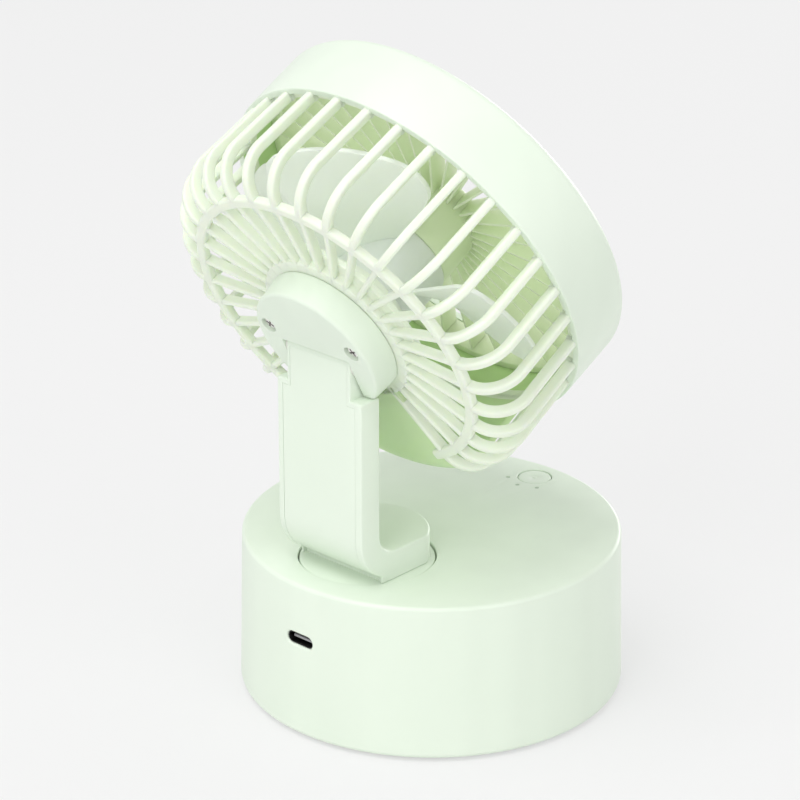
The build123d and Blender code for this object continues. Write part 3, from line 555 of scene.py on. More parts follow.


# The shell's streaks are painted softbox reflection: faint upright bands on the base's sides.
SHELL = moulded("mint_shell", (0.795, 0.89, 0.76), (0.815, 0.905, 0.78), streaks=0.02)
ARM = moulded("mint_arm", (0.80, 0.892, 0.765), (0.82, 0.907, 0.785))
CAGE = moulded("mint_cage", (0.85, 0.925, 0.775), (0.865, 0.935, 0.79), scatter=0.3,
               radius=(0.8, 1.0, 0.5))
# The panel behind the arm is painted a deeper green than the cage: painted shade from the arm and
# the hollow behind it.
PANEL = moulded("mint_panel_painted_shade", (0.66, 0.83, 0.50), (0.68, 0.845, 0.52), scatter=0.3,
                radius=(0.8, 1.0, 0.45))
# The front grille and its cup are painted a more saturated green than the shell: painted shade and
# bounced green light inside the head.
FINS_SHADED = moulded("mint_fins_painted_shade", (0.825, 0.94, 0.65), (0.84, 0.95, 0.67), scatter=0.3,
               radius=(0.9, 1.0, 0.8))
# A lighter green painted on the fins' rear edges as a highlight, where light catches them.
FIN_HIGHLIGHT = moulded("mint_fin_painted_highlight", (0.92, 0.98, 0.77), (0.94, 0.99, 0.79), scatter=0.3,
                   radius=(0.9, 1.0, 0.8))
# A deeper green painted inside the front band: painted shade and bounced green light in the hollow
# of the head.
INNER = moulded("mint_inner_painted_shade", (0.60, 0.81, 0.40), (0.62, 0.83, 0.42))
MILKY = moulded("milky_blade", (0.845, 0.935, 0.825), (0.865, 0.95, 0.845), rough=(0.42, 0.5),
                scatter=0.9, radius=(1.0, 1.0, 0.9))
RUBBER = moulded("rubber_pad", (0.50, 0.54, 0.48), (0.56, 0.60, 0.54), rough=(0.7, 0.85),
                 grain=700, grain_depth=0.2)
NYLON = moulded("nylon", (0.80, 0.79, 0.74), (0.85, 0.84, 0.79), rough=(0.45, 0.55))
BLACK = moulded("black_moulding", (0.012, 0.012, 0.012), (0.02, 0.02, 0.02), rough=(0.4, 0.55))
# The socket's tongue is a light grey: a painted highlight for the light caught along its top.
TONGUE = moulded("socket_moulding_painted_highlight", (0.30, 0.30, 0.31), (0.36, 0.36, 0.37), rough=(0.3, 0.4))
BOARD = moulded("circuit_board", (0.03, 0.16, 0.07), (0.045, 0.2, 0.09), rough=(0.25, 0.35))
SLEEVE = moulded("cell_sleeve", (0.10, 0.26, 0.45), (0.13, 0.30, 0.50), rough=(0.3, 0.4))
CLEAR = moulded("light_guide", (0.52, 0.62, 0.49), (0.56, 0.67, 0.53), rough=(0.2, 0.3))
STEEL = metal("screw_steel", (0.78, 0.76, 0.74), (0.94, 0.93, 0.91), rough=(0.16, 0.28))
PIN = metal("pin_steel", (0.55, 0.55, 0.55), (0.66, 0.66, 0.66), stretch=(0.05, 1, 1))
CAN = metal("motor_can", (0.50, 0.51, 0.51), (0.62, 0.63, 0.63), rough=(0.3, 0.45))
# The socket's shell is near black: painted shade for the dark inside of the port, not the metal's
# own colour.
SOCKET_SHADE = metal("socket_steel", (0.03, 0.03, 0.03), (0.06, 0.06, 0.06), rough=(0.35, 0.45))
GOLD = metal("contact_gold", (0.60, 0.42, 0.16), (0.75, 0.55, 0.25), rough=(0.2, 0.3))


# ---- base --------------------------------------------------------------------------------
def wall_radius(z):
    share = (z - BASE_FOOT) / (BASE_HEIGHT - BASE_FOOT)
    return BASE_BOTTOM_RADIUS + (BASE_TOP_RADIUS - BASE_BOTTOM_RADIUS) * share


def flared_cutter(name, radius, low, high, flare, x=0.0, y=0.0, steps=96):
    """A cylinder that widens at the top, so that the hole it cuts has a soft rim."""
    rim = high - flare
    turns = [pi / 2 * k / 5 for k in range(6)]
    outline = [(0, low), (radius, low)]
    outline += [(radius + flare * (1 - cos(a)), rim + flare * sin(a)) for a in turns]
    outline += [(radius + flare, high + 1), (0, high + 1)]
    return turned(name, outline, centre=(x, y), steps=steps)


def light_points():
    for angle in LIGHT_ANGLES:
        a = radians(angle)
        yield LIGHT_CIRCLE * cos(a), BUTTON_Y + LIGHT_CIRCLE * sin(a)


def port_funnel(face, width, height):
    """The widening mouth cut round the socket's opening, as stations along Y."""
    verts = []
    for y, grow in PORT_FUNNEL:
        outline = stadium(width + 2 * grow, height + 2 * grow, 0, PORT_Z)
        verts += [(a, face + y, b) for a, b in outline]
    return verts, tube_faces(len(outline), len(PORT_FUNNEL))


def make_base():
    inner = wall_radius(BASE_HEIGHT - ROOF) - BASE_WALL
    outline = [(0, BASE_HEIGHT), (BASE_TOP_RADIUS, BASE_HEIGHT), (BASE_BOTTOM_RADIUS, BASE_FOOT),
               (BASE_BOTTOM_RADIUS - BASE_WALL, BASE_FOOT), (inner, BASE_HEIGHT - ROOF),
               (0, BASE_HEIGHT - ROOF)]
    rounds = [0, BASE_TOP_ROUND, BASE_BOTTOM_ROUND, 0.2, 0.6, 0]
    base = turned("base_casing", rounded(outline, rounds, 8), steps=256)
    well_low = WELL_FLOOR - WELL_FLOOR_THICK
    well = [(0, well_low), (WELL_RADIUS + WELL_WALL, well_low),
            (WELL_RADIUS + WELL_WALL, INSIDE_ROOF), (0, INSIDE_ROOF)]
    guide = [(0, GUIDE_BOTTOM), (GUIDE_RADIUS, GUIDE_BOTTOM), (GUIDE_RADIUS, INSIDE_ROOF),
             (0, INSIDE_ROOF)]
    combine(base, [turned("well_floor", well, centre=(0, SWIVEL_Y)),
                   turned("guide", guide, centre=(0, BUTTON_Y), steps=64)], "UNION")
    cutters = [
        flared_cutter("cut_well", WELL_RADIUS, WELL_FLOOR, BASE_HEIGHT, 0.3, 0, SWIVEL_Y, 160),
        flared_cutter("cut_button", BUTTON_HOLE, GUIDE_BOTTOM - 1, BASE_HEIGHT, 0.25, 0, BUTTON_Y),
    ]
    for x, y in light_points():
        cutters.append(flared_cutter("cut_light", LIGHT_RADIUS + LIGHT_GAP, LIGHT_BOTTOM + 1,
                                     BASE_HEIGHT, 0.05, x, y, 24))
    face = wall_radius(PORT_Z)
    width, height = PORT_OPENING
    opening = stadium(width, height, 0, PORT_Z)
    cutters.append(join_parts("cut_port", [prism(opening, face - 5, face + 2, "y")]))
    cutters.append(join_parts("cut_bevel", [port_funnel(face, width, height)]))
    combine(base, cutters, "DIFFERENCE")
    dress(base, SHELL, "base", ["base_shell"], 35)


def make_turntable():
    outline = [(0, TURNTABLE_TOP), (TURNTABLE_RADIUS, TURNTABLE_TOP),
               (TURNTABLE_RADIUS, TURNTABLE_BOTTOM), (NECK_RADIUS, TURNTABLE_BOTTOM),
               (NECK_RADIUS, NECK_BOTTOM), (0, NECK_BOTTOM)]
    rounds = [0, TURNTABLE_ROUND, 0.2, 0, 0.2, 0]
    disc = turned("turntable_disc", rounded(outline, rounds, 5), centre=(0, SWIVEL_Y))
    dress(disc, ARM, "arm", ["turntable"], 35)


def make_button():
    top = BUTTON_TOP
    dish = top - BUTTON_DISH
    groove = dish - BUTTON_RING_DEPTH
    inner, outer = BUTTON_RING
    outline = [(0, dish), (inner, dish), (inner + BUTTON_RING_SLOPE, groove),
               (outer - BUTTON_RING_SLOPE, groove), (outer, dish), (BUTTON_RADIUS, top),
               (BUTTON_RADIUS, FLANGE_TOP), (FLANGE_RADIUS, FLANGE_TOP),
               (FLANGE_RADIUS, FLANGE_BOTTOM), (0, FLANGE_BOTTOM)]
    rounds = [0, 0, 0, 0, 0, BUTTON_ROUND, 0, 0.1, 0.1, 0]
    cap = turned("button_cap", rounded(outline, rounds, 5), centre=(0, BUTTON_Y), steps=96)
    dress(cap, SHELL, "button", ["power_button"], 35)


def make_lights():
    outline = rounded([(0, LIGHT_TOP), (LIGHT_RADIUS, LIGHT_TOP), (LIGHT_RADIUS, LIGHT_BOTTOM),
                       (0, LIGHT_BOTTOM)], [0, 0.1, 0, 0], 4)
    parts = [lathe(outline, 24, point) for point in light_points()]
    dress(join_parts("light_guides", parts), CLEAR, "base", ["light_pipes"])


def make_socket():
    face = wall_radius(PORT_Z) - PORT_SUNK
    back = face - PORT_DEPTH + PORT_BACK
    width, height = PORT_SHELL
    can = stadium(width, height, 0, PORT_Z)
    room = stadium(width - 2 * PORT_WALL, height - 2 * PORT_WALL, 0, PORT_Z)
    shell = join_parts("socket_can", [prism(can, face - PORT_DEPTH, face, "y")])
    bore = join_parts("socket_bore", [prism(room, back, face + 1, "y")])
    combine(shell, [bore], "DIFFERENCE")
    soften(shell, 0.07, 2, 50)
    # The shell's near-black is painted shade inside the port.
    dress(shell, SOCKET_SHADE, "base", ["socket_shell"])

    half, thick, length = TONGUE_BLADE
    plan = rectangle(-half, half, PORT_Z - thick, PORT_Z + thick)
    blade = join_parts("socket_blade", [prism(plan, back, back + length, "y")])
    soften(blade, 0.12, 2)
    # The tongue's grey is a painted highlight.
    dress(blade, TONGUE, "base", ["socket_tongue"])

    half, thick, length = CONTACT_SIZE
    contacts = []
    for i in range(CONTACT_COUNT):
        x = CONTACT_PITCH * (i - (CONTACT_COUNT - 1) / 2)
        for z in (PORT_Z + CONTACT_LIFT, PORT_Z - CONTACT_LIFT):
            plan = rectangle(x - half, x + half, z - thick, z + thick)
            contacts.append(prism(plan, back, back + length, "y"))
    dress(join_parts("socket_contacts", contacts), GOLD, "base")


# ---- arm ---------------------------------------------------------------------------------
def heel_angle(radius):
    """Where a curve parallel to the arm's outer bend stops above the heel, in degrees."""
    return -degrees(acos((HEEL_Y - BEND_Y) / radius))


def strip(inset, top, low_radius=BEND_OUTER + 0.6):
    """The band under the arm's rear face, in YZ."""
    inner = BEND_OUTER - inset
    points = arc(BEND_Y, BEND_Z, inner, 0, heel_angle(inner), 20)
    points += arc(BEND_Y, BEND_Z, low_radius, heel_angle(low_radius), 0, 20)
    return [(BEND_Y + inner, top)] + points + [(BEND_Y + low_radius, top)]


def arm_side():
    """The L-shaped side view of the arm, in YZ, running on past the foot's nose."""
    front = SWIVEL_Y - FOOT_NOSE - 2
    outer = arc(BEND_Y, BEND_Z, BEND_OUTER, heel_angle(BEND_OUTER), 0, 24)
    inner = arc(BEND_Y, BEND_Z, BEND, 0, -90, 14)
    side = [(front, TURNTABLE_TOP), (HEEL_Y, TURNTABLE_TOP)] + outer
    return side + [(ARM_REAR, SHOULDER), (ARM_FRONT, SHOULDER)] + inner + [(front, FOOT_TOP)]


def foot_plan():
    """Seen from above: straight sides and a nose that is round about the swivel."""
    edge = degrees(asin(ARM_HALF / FOOT_NOSE))
    far = SWIVEL_Y + 30
    nose = arc(0, SWIVEL_Y, FOOT_NOSE, -90 + edge, -90 - edge, 48)
    return [(ARM_HALF, far)] + nose + [(-ARM_HALF, far)]


def make_arm():
    arm = join_parts("arm_body", [prism(arm_side(), -ARM_HALF, ARM_HALF, "x")])
    cutter = join_parts("foot_plan", [prism(foot_plan(), TURNTABLE_TOP - 1, SHOULDER + 1)])
    combine(arm, [cutter], "INTERSECT")
    soften(arm, ARM_ROUND, 4)
    half = (ARM_REAR - ARM_FRONT) / 2
    crown = arc(TILT_Y, TILT_Z, half, 0, 180, 32)
    crown = [(ARM_REAR, SHOULDER - 2)] + crown + [(ARM_FRONT, SHOULDER - 2)]
    tongue = join_parts("tongue", [prism(crown, -TONGUE_HALF, TONGUE_HALF, "x")])
    soften(tongue, TONGUE_ROUND, 3)
    combine(arm, [tongue], "UNION")
    wide = ARM_HALF - PLATE_BORDER
    narrow = TONGUE_HALF - TONGUE_BORDER
    inset, depth, height = HEEL_RECESS
    under = ARM_HALF - inset
    heel = rectangle(-under, under, HEEL_Y - depth, HEEL_Y + 1)
    rooms = [
        join_parts("room", [prism(strip(PLATE, SHOULDER - PLATE_DROP), -wide, wide, "x")]),
        join_parts("room_top", [prism(strip(PLATE, TILT_Z), -narrow, narrow, "x")]),
        join_parts("under_heel", [prism(heel, TURNTABLE_TOP - 1, TURNTABLE_TOP + height)]),
    ]
    combine(arm, rooms, "DIFFERENCE")
    dress(arm, ARM, "arm", ["arm_frame"], 34)


def make_arm_cover():
    wide = ARM_HALF - PLATE_BORDER - PLATE_GAP
    narrow = TONGUE_HALF - TONGUE_BORDER - PLATE_GAP
    thick = PLATE - PLATE_SEAT
    low = strip(thick, SHOULDER - PLATE_DROP - PLATE_GAP, BEND_OUTER)
    high = strip(thick, TILT_Z - 0.02, BEND_OUTER)
    plate = join_parts("arm_cover", [prism(low, -wide, wide, "x")])
    combine(plate, [join_parts("upper", [prism(high, -narrow, narrow, "x")])], "UNION")
    soften(plate, PLATE_ROUND, 3)
    dress(plate, ARM, "arm", ["arm_rear_cover"], 34)


# ---- head --------------------------------------------------------------------------------
def make_shroud():
    inner = HEAD_R - SHROUD_WALL
    outline = [(SHROUD_LIP_R, 0), (HEAD_R, 0), (HEAD_R, SHROUD_DEPTH), (inner, SHROUD_DEPTH),
               (inner, SHROUD_LIP), (SHROUD_LIP_R, SHROUD_LIP)]
    outline = rounded(outline, [0.9, 2.9, 0.35, 0.2, 0.3, 0.2], 8)
    band = join_parts("front_band", [lathe(outline, 256)], HEAD)
    dress(band, SHELL, "head", ["front_shroud"], 35)
    # The inside of the front band is painted a deeper green as shade.
    paint(band, INNER, lambda r, s: r < inner + 0.05 and SHROUD_LIP + 0.2 < s < SHROUD_DEPTH - 0.6)


def steps_between(start, end, count):
    """Points on a straight line, both ends included."""
    return [(start[0] + (end[0] - start[0]) * k / count, start[1] + (end[1] - start[1]) * k / count)
            for k in range(count + 1)]


def cage_curve(start_r, bend, root_s, start_s=RIB_START_S):
    """The cage's outer line as (radius, depth) points from the shroud to the hub."""
    centre_r = HEAD_R - RIB_BEND
    centre_s = RIB_REAR - RIB_BEND
    rear = centre_s + bend
    points = steps_between((start_r, start_s), (centre_r + bend, centre_s), 6)[:-1]
    points += arc(centre_r, centre_s, bend, 0, 90, 18)
    return points + steps_between((centre_r, rear), (RIB_ROOT, root_s), 14)[1:]


def normals_of(points):
    """Unit normals that point into the cage at each point of its outer line."""
    out = []
    for i in range(len(points)):
        a = Vector(points[max(i - 1, 0)])
        b = Vector(points[min(i + 1, len(points) - 1)])
        along = (b - a).normalized()
        out.append(Vector((-along.y, along.x)))
    return out


def rib_section(width, depth, taper=0.86, round_out=0.75, round_in=0.45):
    half = width / 2
    inner = half * taper
    return rounded([(-half, 0), (half, 0), (inner, depth), (-inner, depth)],
                   [round_out, round_out, round_in, round_in], 4)


def rib_mesh(angle):
    """One rib: swept along the cage's line, narrower inside the hoop."""
    line = cage_curve(RIB_START_R, RIB_BEND, HUB_REAR, SHROUD_DEPTH - RIB_SUNK)
    turn = radians(angle)
    verts = []
    for (r, s), n in zip(line, normals_of(line)):
        blend = min(1, max(0, (r - HOOP_R + 3) / 4)) if s > RIB_REAR - 2 else 1
        width = RIB_INNER_WIDTH + (RIB_WIDTH - RIB_INNER_WIDTH) * blend
        for a, b in rib_section(width, RIB_DEPTH):
            x, z = r + n.x * b, s + n.y * b
            verts.append((x * cos(turn) - a * sin(turn), x * sin(turn) + a * cos(turn), z))
    return verts, tube_faces(len(verts) // len(line), len(line))


def panel_edge(y):
    """Half the panel's width at a height in the head's frame."""
    return PANEL_HALF + (PANEL_TOP - y) * tan(PANEL_FLARE)


def rib_angles():
    """The ribs that stand clear of the panel."""
    free = []
    for i in range(RIB_COUNT):
        angle = 90 + 360 * i / RIB_COUNT
        x = HOOP_R * cos(radians(angle))
        y = HOOP_R * sin(radians(angle))
        if y > 0 or abs(x) > panel_edge(y) + RIB_WIDTH / 2:
            free.append(angle)
    return free


def panel_spread(r):
    """Half the angle that the panel covers at a radius, closed in on by repeating."""
    spread = 0.4
    for _ in range(30):
        spread = asin(min(1, panel_edge(-r * cos(spread)) / r))
    return spread


def rib_foot(angle):
    """The short block that carries a rib on the ring inside the front band."""
    half = RIB_WIDTH / 2
    plan = rectangle(RING_INNER, RING_OUTER - 0.1, -half, half)
    verts, faces = prism(plan, RING_REAR - 0.9, RIB_START_S + 0.1)
    turn = Matrix.Rotation(radians(angle), 4, "Z")
    return [tuple(turn @ Vector(v)) for v in verts], faces


def make_cage_hub():
    """The collar and disc that the ribs run into, with the motor's cup and the screw bosses."""
    front = HUB_REAR - HUB_THICK
    low = HUB_REAR - HUB_STEP
    under = low - HUB_DISC_THICK
    profile = [(0, HUB_REAR), (HUB_COLLAR, HUB_REAR), (HUB_COLLAR + 0.5, low), (HUB_DISC, low),
               (HUB_DISC, under), (MOTOR_CUP_R, under), (MOTOR_CUP_R, MOTOR_CUP_FRONT),
               (MOTOR_CUP_INNER, MOTOR_CUP_FRONT), (MOTOR_CUP_INNER, front), (0, front)]
    rounds = [0, 0.4, 0.8, 0.35, 0.35, 0.5, 0.3, 0.3, 0, 0]
    hub = turned("cage_hub", rounded(profile, rounds, 5), HEAD)
    tip = HUB_REAR - BOSS_DEPTH
    boss = rounded([(0, tip), (BOSS_R, tip), (BOSS_R, HUB_REAR - 1), (0, HUB_REAR - 1)],
                   [0, 0.3, 0, 0], 3)
    posts = [turned("boss", boss, HEAD, (x, SCREW_Y), 32) for x in (-SCREW_X, SCREW_X)]
    combine(hub, posts, "UNION")
    dress(hub, CAGE, "head", ["rear_grille"], 40)


def make_cage():
    pieces = [make(a) for a in rib_angles() for make in (rib_mesh, rib_foot)]
    ribs = join_parts("cage_ribs", pieces, HEAD)
    dress(ribs, CAGE, "head", ["rear_grille"], 50)

    half = HOOP_WIDTH / 2
    section = rectangle(HOOP_R - half, HOOP_R + half, RIB_REAR - HOOP_DEPTH, RIB_REAR)
    gap = panel_spread(HOOP_R) - radians(1.0)
    start = radians(270) + gap
    sweep = (start, start + 2 * pi - 2 * gap)
    hoop = [lathe(rounded(section, [0.4, 0.4, 0.8, 0.8], 5), 150, sweep=sweep)]
    dress(join_parts("cage_hoop", hoop, HEAD), CAGE, "head", ["rear_grille"], 50)

    ring = rectangle(RING_INNER, RING_OUTER, RING_FRONT, RING_REAR)
    ring = rounded(ring, [0.2, 0.2, 0.3, 0.3], 4)
    under_panel = rectangle(RING_INNER, RING_OUTER, RING_REAR - 0.5, RIB_START_S + 0.05)
    spread = panel_spread(RING_OUTER)
    sweep = (radians(270) - spread, radians(270) + spread)
    rim = join_parts("cage_rim", [lathe(ring), lathe(under_panel, 24, sweep=sweep)], HEAD)
    dress(rim, CAGE, "head", ["rear_grille"], 40)
    make_cage_hub()
    make_panel()


def make_panel():
    """The plain panel behind the arm, with straight flared sides and a soft rim."""
    line = cage_curve(RIB_START_R - PANEL_SUNK, RIB_BEND - PANEL_SUNK, RIB_REAR - PANEL_SUNK)
    across = 28
    verts = []
    for depth in (0, PANEL_THICK):
        for (r, s), n in zip(line, normals_of(line)):
            spread = panel_spread(max(r, RIB_ROOT))
            rr, ss = r + n.x * depth, s + n.y * depth
            for k in range(across + 1):
                a = radians(270) + spread * (2 * k / across - 1)
                verts.append((rr * cos(a), rr * sin(a), ss))
    panel = build("cage_panel", verts, slab_faces(across + 1, len(line)), HEAD)
    soften(panel, 0.35, 3, 50)
    # Its deeper green is painted shade behind the arm.
    dress(panel, PANEL, "head", ["rear_grille"], 40)


def make_bracket():
    step, height = BRACKET_NECK
    neck = HUB_REAR + height
    outline = [(0, HUB_REAR), (BRACKET_FRONT_R - step, HUB_REAR), (BRACKET_FRONT_R - step, neck),
               (BRACKET_FRONT_R, neck), (BRACKET_REAR_R, BRACKET_REAR), (0, BRACKET_REAR)]
    puck = turned("bracket_puck", rounded(outline, [0, 0, 0, 0.12, 1.0, 0], 7), HEAD)
    plan = rectangle(-NOTCH_HALF, NOTCH_HALF, -40, NOTCH_TOP)
    notch = join_parts("notch", [prism(plan, HUB_REAR - 1, BRACKET_REAR + 1)], HEAD)
    combine(puck, [notch], "DIFFERENCE")
    # What lies below the tilt axis and further from it than the legs' round goes.
    waste = arc(AXIS_V, AXIS_S, LEG_RADIUS, 270, 90, 40)
    waste += [(AXIS_V, 90), (-60, 90), (-60, 20), (AXIS_V, 20)]
    combine(puck, [join_parts("below", [prism(waste, -40, 40, "x")], HEAD)], "DIFFERENCE")
    soften(puck, 0.3, 3, 50)
    well = [(0, SCREW_SEAT), (SCREW_WELL_R, SCREW_SEAT), (SCREW_WELL_R, BRACKET_REAR - 0.15),
            (SCREW_WELL_R + 0.2, BRACKET_REAR + 1), (0, BRACKET_REAR + 1)]
    well = rounded(well, [0, 0.2, 0.3, 0, 0], 3)
    wells = [turned("well", well, HEAD, (x, SCREW_Y), 48) for x in (-SCREW_X, SCREW_X)]
    combine(puck, wells, "DIFFERENCE")
    dress(puck, SHELL, "head", ["hinge_bracket"], 35)


def make_bracket_screws():
    head, height = SCREW_HEAD
    shank, length = SCREW_SHANK
    reach, half, depth = SCREW_CROSS
    top = SCREW_SEAT + height
    outline = [(0, SCREW_SEAT - length), (shank, SCREW_SEAT - length), (shank, SCREW_SEAT),
               (head, SCREW_SEAT), (head, top), (0, top)]
    outline = rounded(outline, [0, 0.3, 0, 0.15, 0.55, 0], 5)
    for side, x in (("right", SCREW_X), ("left", -SCREW_X)):
        screw = turned("bracket_screw_" + side, outline, HEAD, (x, SCREW_Y), 48)
        turn = Matrix.Rotation(radians(SCREW_TURNS[side]), 4, "Z")
        place = HEAD @ Matrix.Translation((x, SCREW_Y, 0)) @ turn
        cross = [join_parts("slot", [prism(rectangle(-a, a, -b, b), top - depth, top + 1)], place)
                 for a, b in ((reach, half), (half, reach))]
        combine(screw, cross, "DIFFERENCE")
        dress(screw, STEEL, "head", ["bracket_screws"], 30)


# ---- front grille ------------------------------------------------------------------------
def fin_mesh(turn):
    """One fin: thinner towards its rear edge, from inside the cup to the rim."""
    half = FIN_THICK / 2
    rear = FIN_TAPER * half
    section = rounded([(-half, FIN_FRONT), (half, FIN_FRONT), (rear, FIN_REAR), (-rear, FIN_REAR)],
                      [0.5, 0.5, 0.1, 0.1], 3)
    verts = []
    for r in (CUP_R - FIN_SUNK, FIN_END):
        verts += [(r * cos(turn) - a * sin(turn), r * sin(turn) + a * cos(turn), b)
                  for a, b in section]
    return verts, tube_faces(len(section), 2)


def make_front_grille():
    parts = [fin_mesh(radians(FIN_PHASE + 360 * k / FIN_COUNT)) for k in range(FIN_COUNT)]
    outer = HEAD_R - SHROUD_WALL - 0.1
    width, front, rear = GRILLE_RIM
    rim = rounded(rectangle(outer - width, outer, front, rear), [0.4, 0.1, 0.1, 0.4], 4)
    parts.append(lathe(rim))
    fins = join_parts("front_fins", parts, HEAD)
    # The fins' saturated green is painted shade from inside the head.
    dress(fins, FINS_SHADED, "head", ["front_grille"], 40)
    # The fins' rear edges are painted lighter: a painted highlight.
    edge = FIN_REAR - FIN_HIGHLIGHT_DEPTH
    paint(fins, FIN_HIGHLIGHT, lambda r, s: s > edge and r < outer - width - 0.1)

    inner = CUP_R - CUP_WALL
    profile = [*CUP_FACE, (CUP_R + CUP_FLARE, CUP_REAR), (inner, CUP_REAR), (inner, CUP_FLOOR),
               (0, CUP_FLOOR)]
    cup = turned("front_cup", rounded(profile, [0, 3, 0.6, 0.3, 0.3, 0.5, 0], 5), HEAD)
    # The cup takes the same painted-shade green as the fins.
    dress(cup, FINS_SHADED, "head", ["front_grille"], 40)


# ---- impeller ----------------------------------------------------------------------------
def tip_radius(phi):
    """How far the blade reaches at an angle from its leading edge, its corners rounded."""
    def corner(turn, radius):
        x = sqrt((BLADE_TIP - radius) ** 2 - radius ** 2)
        middle = atan2(radius, x)
        if turn >= middle:
            return BLADE_TIP
        under = radius ** 2 - (x * sin(turn) - radius * cos(turn)) ** 2
        return x * cos(turn) + radius * sin(turn) + sqrt(max(under, 0))
    return min(corner(radians(phi), LEAD_ROUND), corner(radians(BLADE_SPAN - phi), TRAIL_ROUND))


def blade_mesh(turn):
    """One blade: it rises and twists from its leading edge, with rows from hub to tip."""
    along, out = 48, 18
    root = HUB_R - BLADE_SUNK
    verts = []
    for lift in (0, BLADE_THICK):
        for j in range(along + 1):
            phi = BLADE_SPAN * (1 - cos(pi * j / along)) / 2
            s = BLADE_FRONT + BLADE_RISE * (phi / BLADE_SPAN) ** BLADE_CURVE + lift
            reach = tip_radius(phi)
            a = radians(turn + phi)
            for i in range(out + 1):
                r = root + (reach - root) * sin(pi / 2 * i / out)
                verts.append((r * cos(a), r * sin(a), s))
    return verts, slab_faces(out + 1, along + 1)


def make_impeller():
    inner = HUB_R - HUB_WALL
    floor = HUB_FRONT + HUB_WALL
    profile = [(0, HUB_FRONT), (HUB_R, HUB_FRONT), (HUB_R, HUB_END), (inner, HUB_END),
               (inner, floor), (SHAFT_BOSS_R, floor), (SHAFT_BOSS_R, SHAFT_BOSS_END),
               (0, SHAFT_BOSS_END)]
    rounds = [0, 0.3, 0.4, 0.4, 0.5, 0.3, 0.2, 0]
    wheel = turned("impeller_wheel", rounded(profile, rounds, 5), HEAD)
    blades = []
    for k in range(BLADE_COUNT):
        blade = join_parts("blade", [blade_mesh(BLADE_START + 360 * k / BLADE_COUNT)], HEAD)
        blades.append(soften(blade, 0.4, 3, 50))
    combine(wheel, blades, "UNION")
    dress(wheel, MILKY, "rotor", ["impeller"], 40)


# ---- what stays as the solids have it ----------------------------------------------------
KEPT = {
    "base_cover": SHELL, "anti_slip_pad": RUBBER, "base_screws": STEEL, "battery_cell": SLEEVE,
    "switch_plunger": BLACK, "tactile_switch": BLACK, "board_lights": CLEAR,
    "control_board": BOARD, "board_screws": STEEL, "charge_board": BOARD,
    "charge_board_screws": STEEL, "swivel_motor": CAN, "swivel_motor_screws": STEEL,
    "drive_shaft": PIN, "drive_pinion": NYLON, "turntable_washer": NYLON, "swivel_gear": NYLON,
    "gear_screws": STEEL, "foot_screws": STEEL, "tilt_axle": PIN, "friction_washers": NYLON,
    # The fan motor takes the pale cage colour instead of metal: painted light that lifts the dark
    # gap between the impeller's hub and the motor cup.
    "fan_motor": CAGE, "fan_shaft": PIN,
}


def dress_kept():
    for name, material in KEPT.items():
        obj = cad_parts[name]
        obj.data.materials.clear()
        obj.data.materials.append(material)


# ---- stage -------------------------------------------------------------------------------
def seen_directly(nodes, links):
    """1 for rays that show a thing as it is: from the camera, off metal or through clear parts."""
    path = nodes.new("ShaderNodeLightPath")
    total = path.outputs["Is Camera Ray"]
    for kind in ("Is Glossy Ray", "Is Transmission Ray"):
        larger = nodes.new("ShaderNodeMath")
        larger.operation = "MAXIMUM"
        links.new(total, larger.inputs[0])
        links.new(path.outputs[kind], larger.inputs[1])
        total = larger.outputs["Value"]
    return total


def make_floor():
    """Pale paper that looks even to the camera and still takes the object's shadow."""
    corners = rectangle(-FLOOR_HALF, FLOOR_HALF, -FLOOR_HALF, FLOOR_HALF)
    floor = build("floor", [(x, y, 0) for x, y in corners], [[0, 1, 2, 3]])
    paper = bpy.data.materials.new("floor_paper")
    paper.use_nodes = True
    nodes = paper.node_tree.nodes
    links = paper.node_tree.links
    matt = nodes["Principled BSDF"]
    matt.inputs["Base Color"].default_value = (*FLOOR_COLOR, 1)
    matt.inputs["Roughness"].default_value = 1.0
    matt.inputs["Specular IOR Level"].default_value = 0.0
    glow = nodes.new("ShaderNodeEmission")
    glow.inputs["Color"].default_value = (*BACKDROP, 1)
    share = nodes.new("ShaderNodeMath")
    share.operation = "MULTIPLY"
    share.inputs[1].default_value = FLOOR_GLOW
    links.new(seen_directly(nodes, links), share.inputs[0])
    mix = nodes.new("ShaderNodeMixShader")
    links.new(share.outputs["Value"], mix.inputs["Fac"])
    links.new(matt.outputs["BSDF"], mix.inputs[1])
    links.new(glow.outputs["Emission"], mix.inputs[2])
    links.new(mix.outputs["Shader"], nodes["Material Output"].inputs["Surface"])
    floor.data.materials.append(paper)


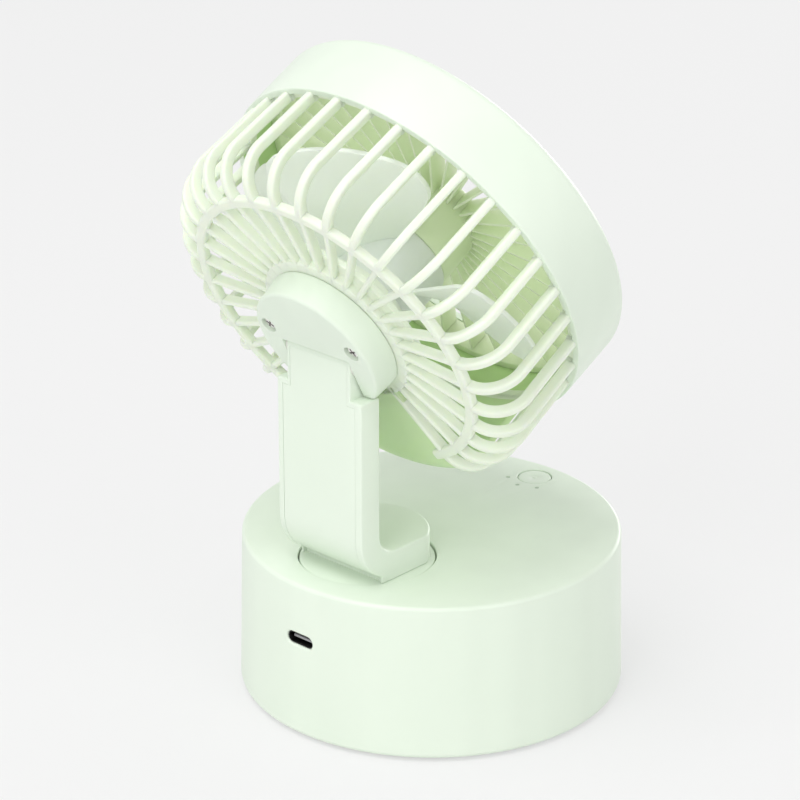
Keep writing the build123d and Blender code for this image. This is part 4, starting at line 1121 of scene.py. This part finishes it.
def make_world():
    """Even light, seen by the camera as the backdrop's colour."""
    world = bpy.data.worlds.new("studio")
    bpy.context.scene.world = world
    world.use_nodes = True
    nodes = world.node_tree.nodes
    links = world.node_tree.links
    nodes["Background"].inputs["Color"].default_value = (1.0, 1.0, 1.0, 1)
    nodes["Background"].inputs["Strength"].default_value = WORLD_LIGHT
    shown = nodes.new("ShaderNodeBackground")
    shown.inputs["Color"].default_value = (*BACKDROP, 1)
    shown.inputs["Strength"].default_value = 1.0
    mix = nodes.new("ShaderNodeMixShader")
    links.new(seen_directly(nodes, links), mix.inputs["Fac"])
    links.new(nodes["Background"].outputs["Background"], mix.inputs[1])
    links.new(shown.outputs["Background"], mix.inputs[2])
    links.new(mix.outputs["Shader"], nodes["World Output"].inputs["Surface"])


def lamp(name, place, aim, size, power):
    light = bpy.data.lights.new(name, "AREA")
    light.shape = "RECTANGLE"
    light.size, light.size_y = size
    light.energy = power
    obj = bpy.data.objects.new(name, light)
    obj.location = place
    obj.rotation_euler = (Vector(aim) - Vector(place)).to_track_quat("-Z", "Y").to_euler()
    bpy.context.scene.collection.objects.link(obj)


def make_camera():
    """The photo's view, as fitted to the photo."""
    az, el = radians(CAMERA_AZIMUTH), radians(CAMERA_ELEVATION)
    back = Vector((sin(az) * cos(el), -cos(az) * cos(el), sin(el)))
    right = Vector((cos(az), sin(az), 0))
    up = back.cross(right)
    place = Vector(CAMERA_TARGET) + back * CAMERA_DISTANCE
    data = bpy.data.cameras.new("photo_view")
    data.sensor_width = 36
    data.lens = CAMERA_LENS
    data.clip_start = 0.01
    camera = bpy.data.objects.new("photo_view", data)
    facing = Matrix((right, up, back)).transposed().to_4x4()
    camera.matrix_world = Matrix.Translation(place) @ facing
    bpy.context.scene.collection.objects.link(camera)
    bpy.context.scene.camera = camera


make_camera()
make_base()
make_turntable()
make_button()
make_lights()
make_socket()
make_arm()
make_arm_cover()
make_shroud()
make_cage()
make_bracket()
make_bracket_screws()
make_front_grille()
make_impeller()
dress_kept()
make_floor()
make_world()
lamp("key", (-0.4, 1.9, 1.3), (0, 0, 0.08), (1.3, 1.3), 12)
lamp("fill", (-1.9, 0.2, 0.8), (0, 0, 0.08), (1.2, 1.2), 5)
lamp("front", (0.35, -1.8, 0.27), (0, 0, 0.12), (1.2, 0.5), 9)
lamp("top", (0.0, 0.7, 2.1), (0, 0, 0.08), (1.1, 1.1), 16)
bpy.context.scene.view_settings.view_transform = "Standard"
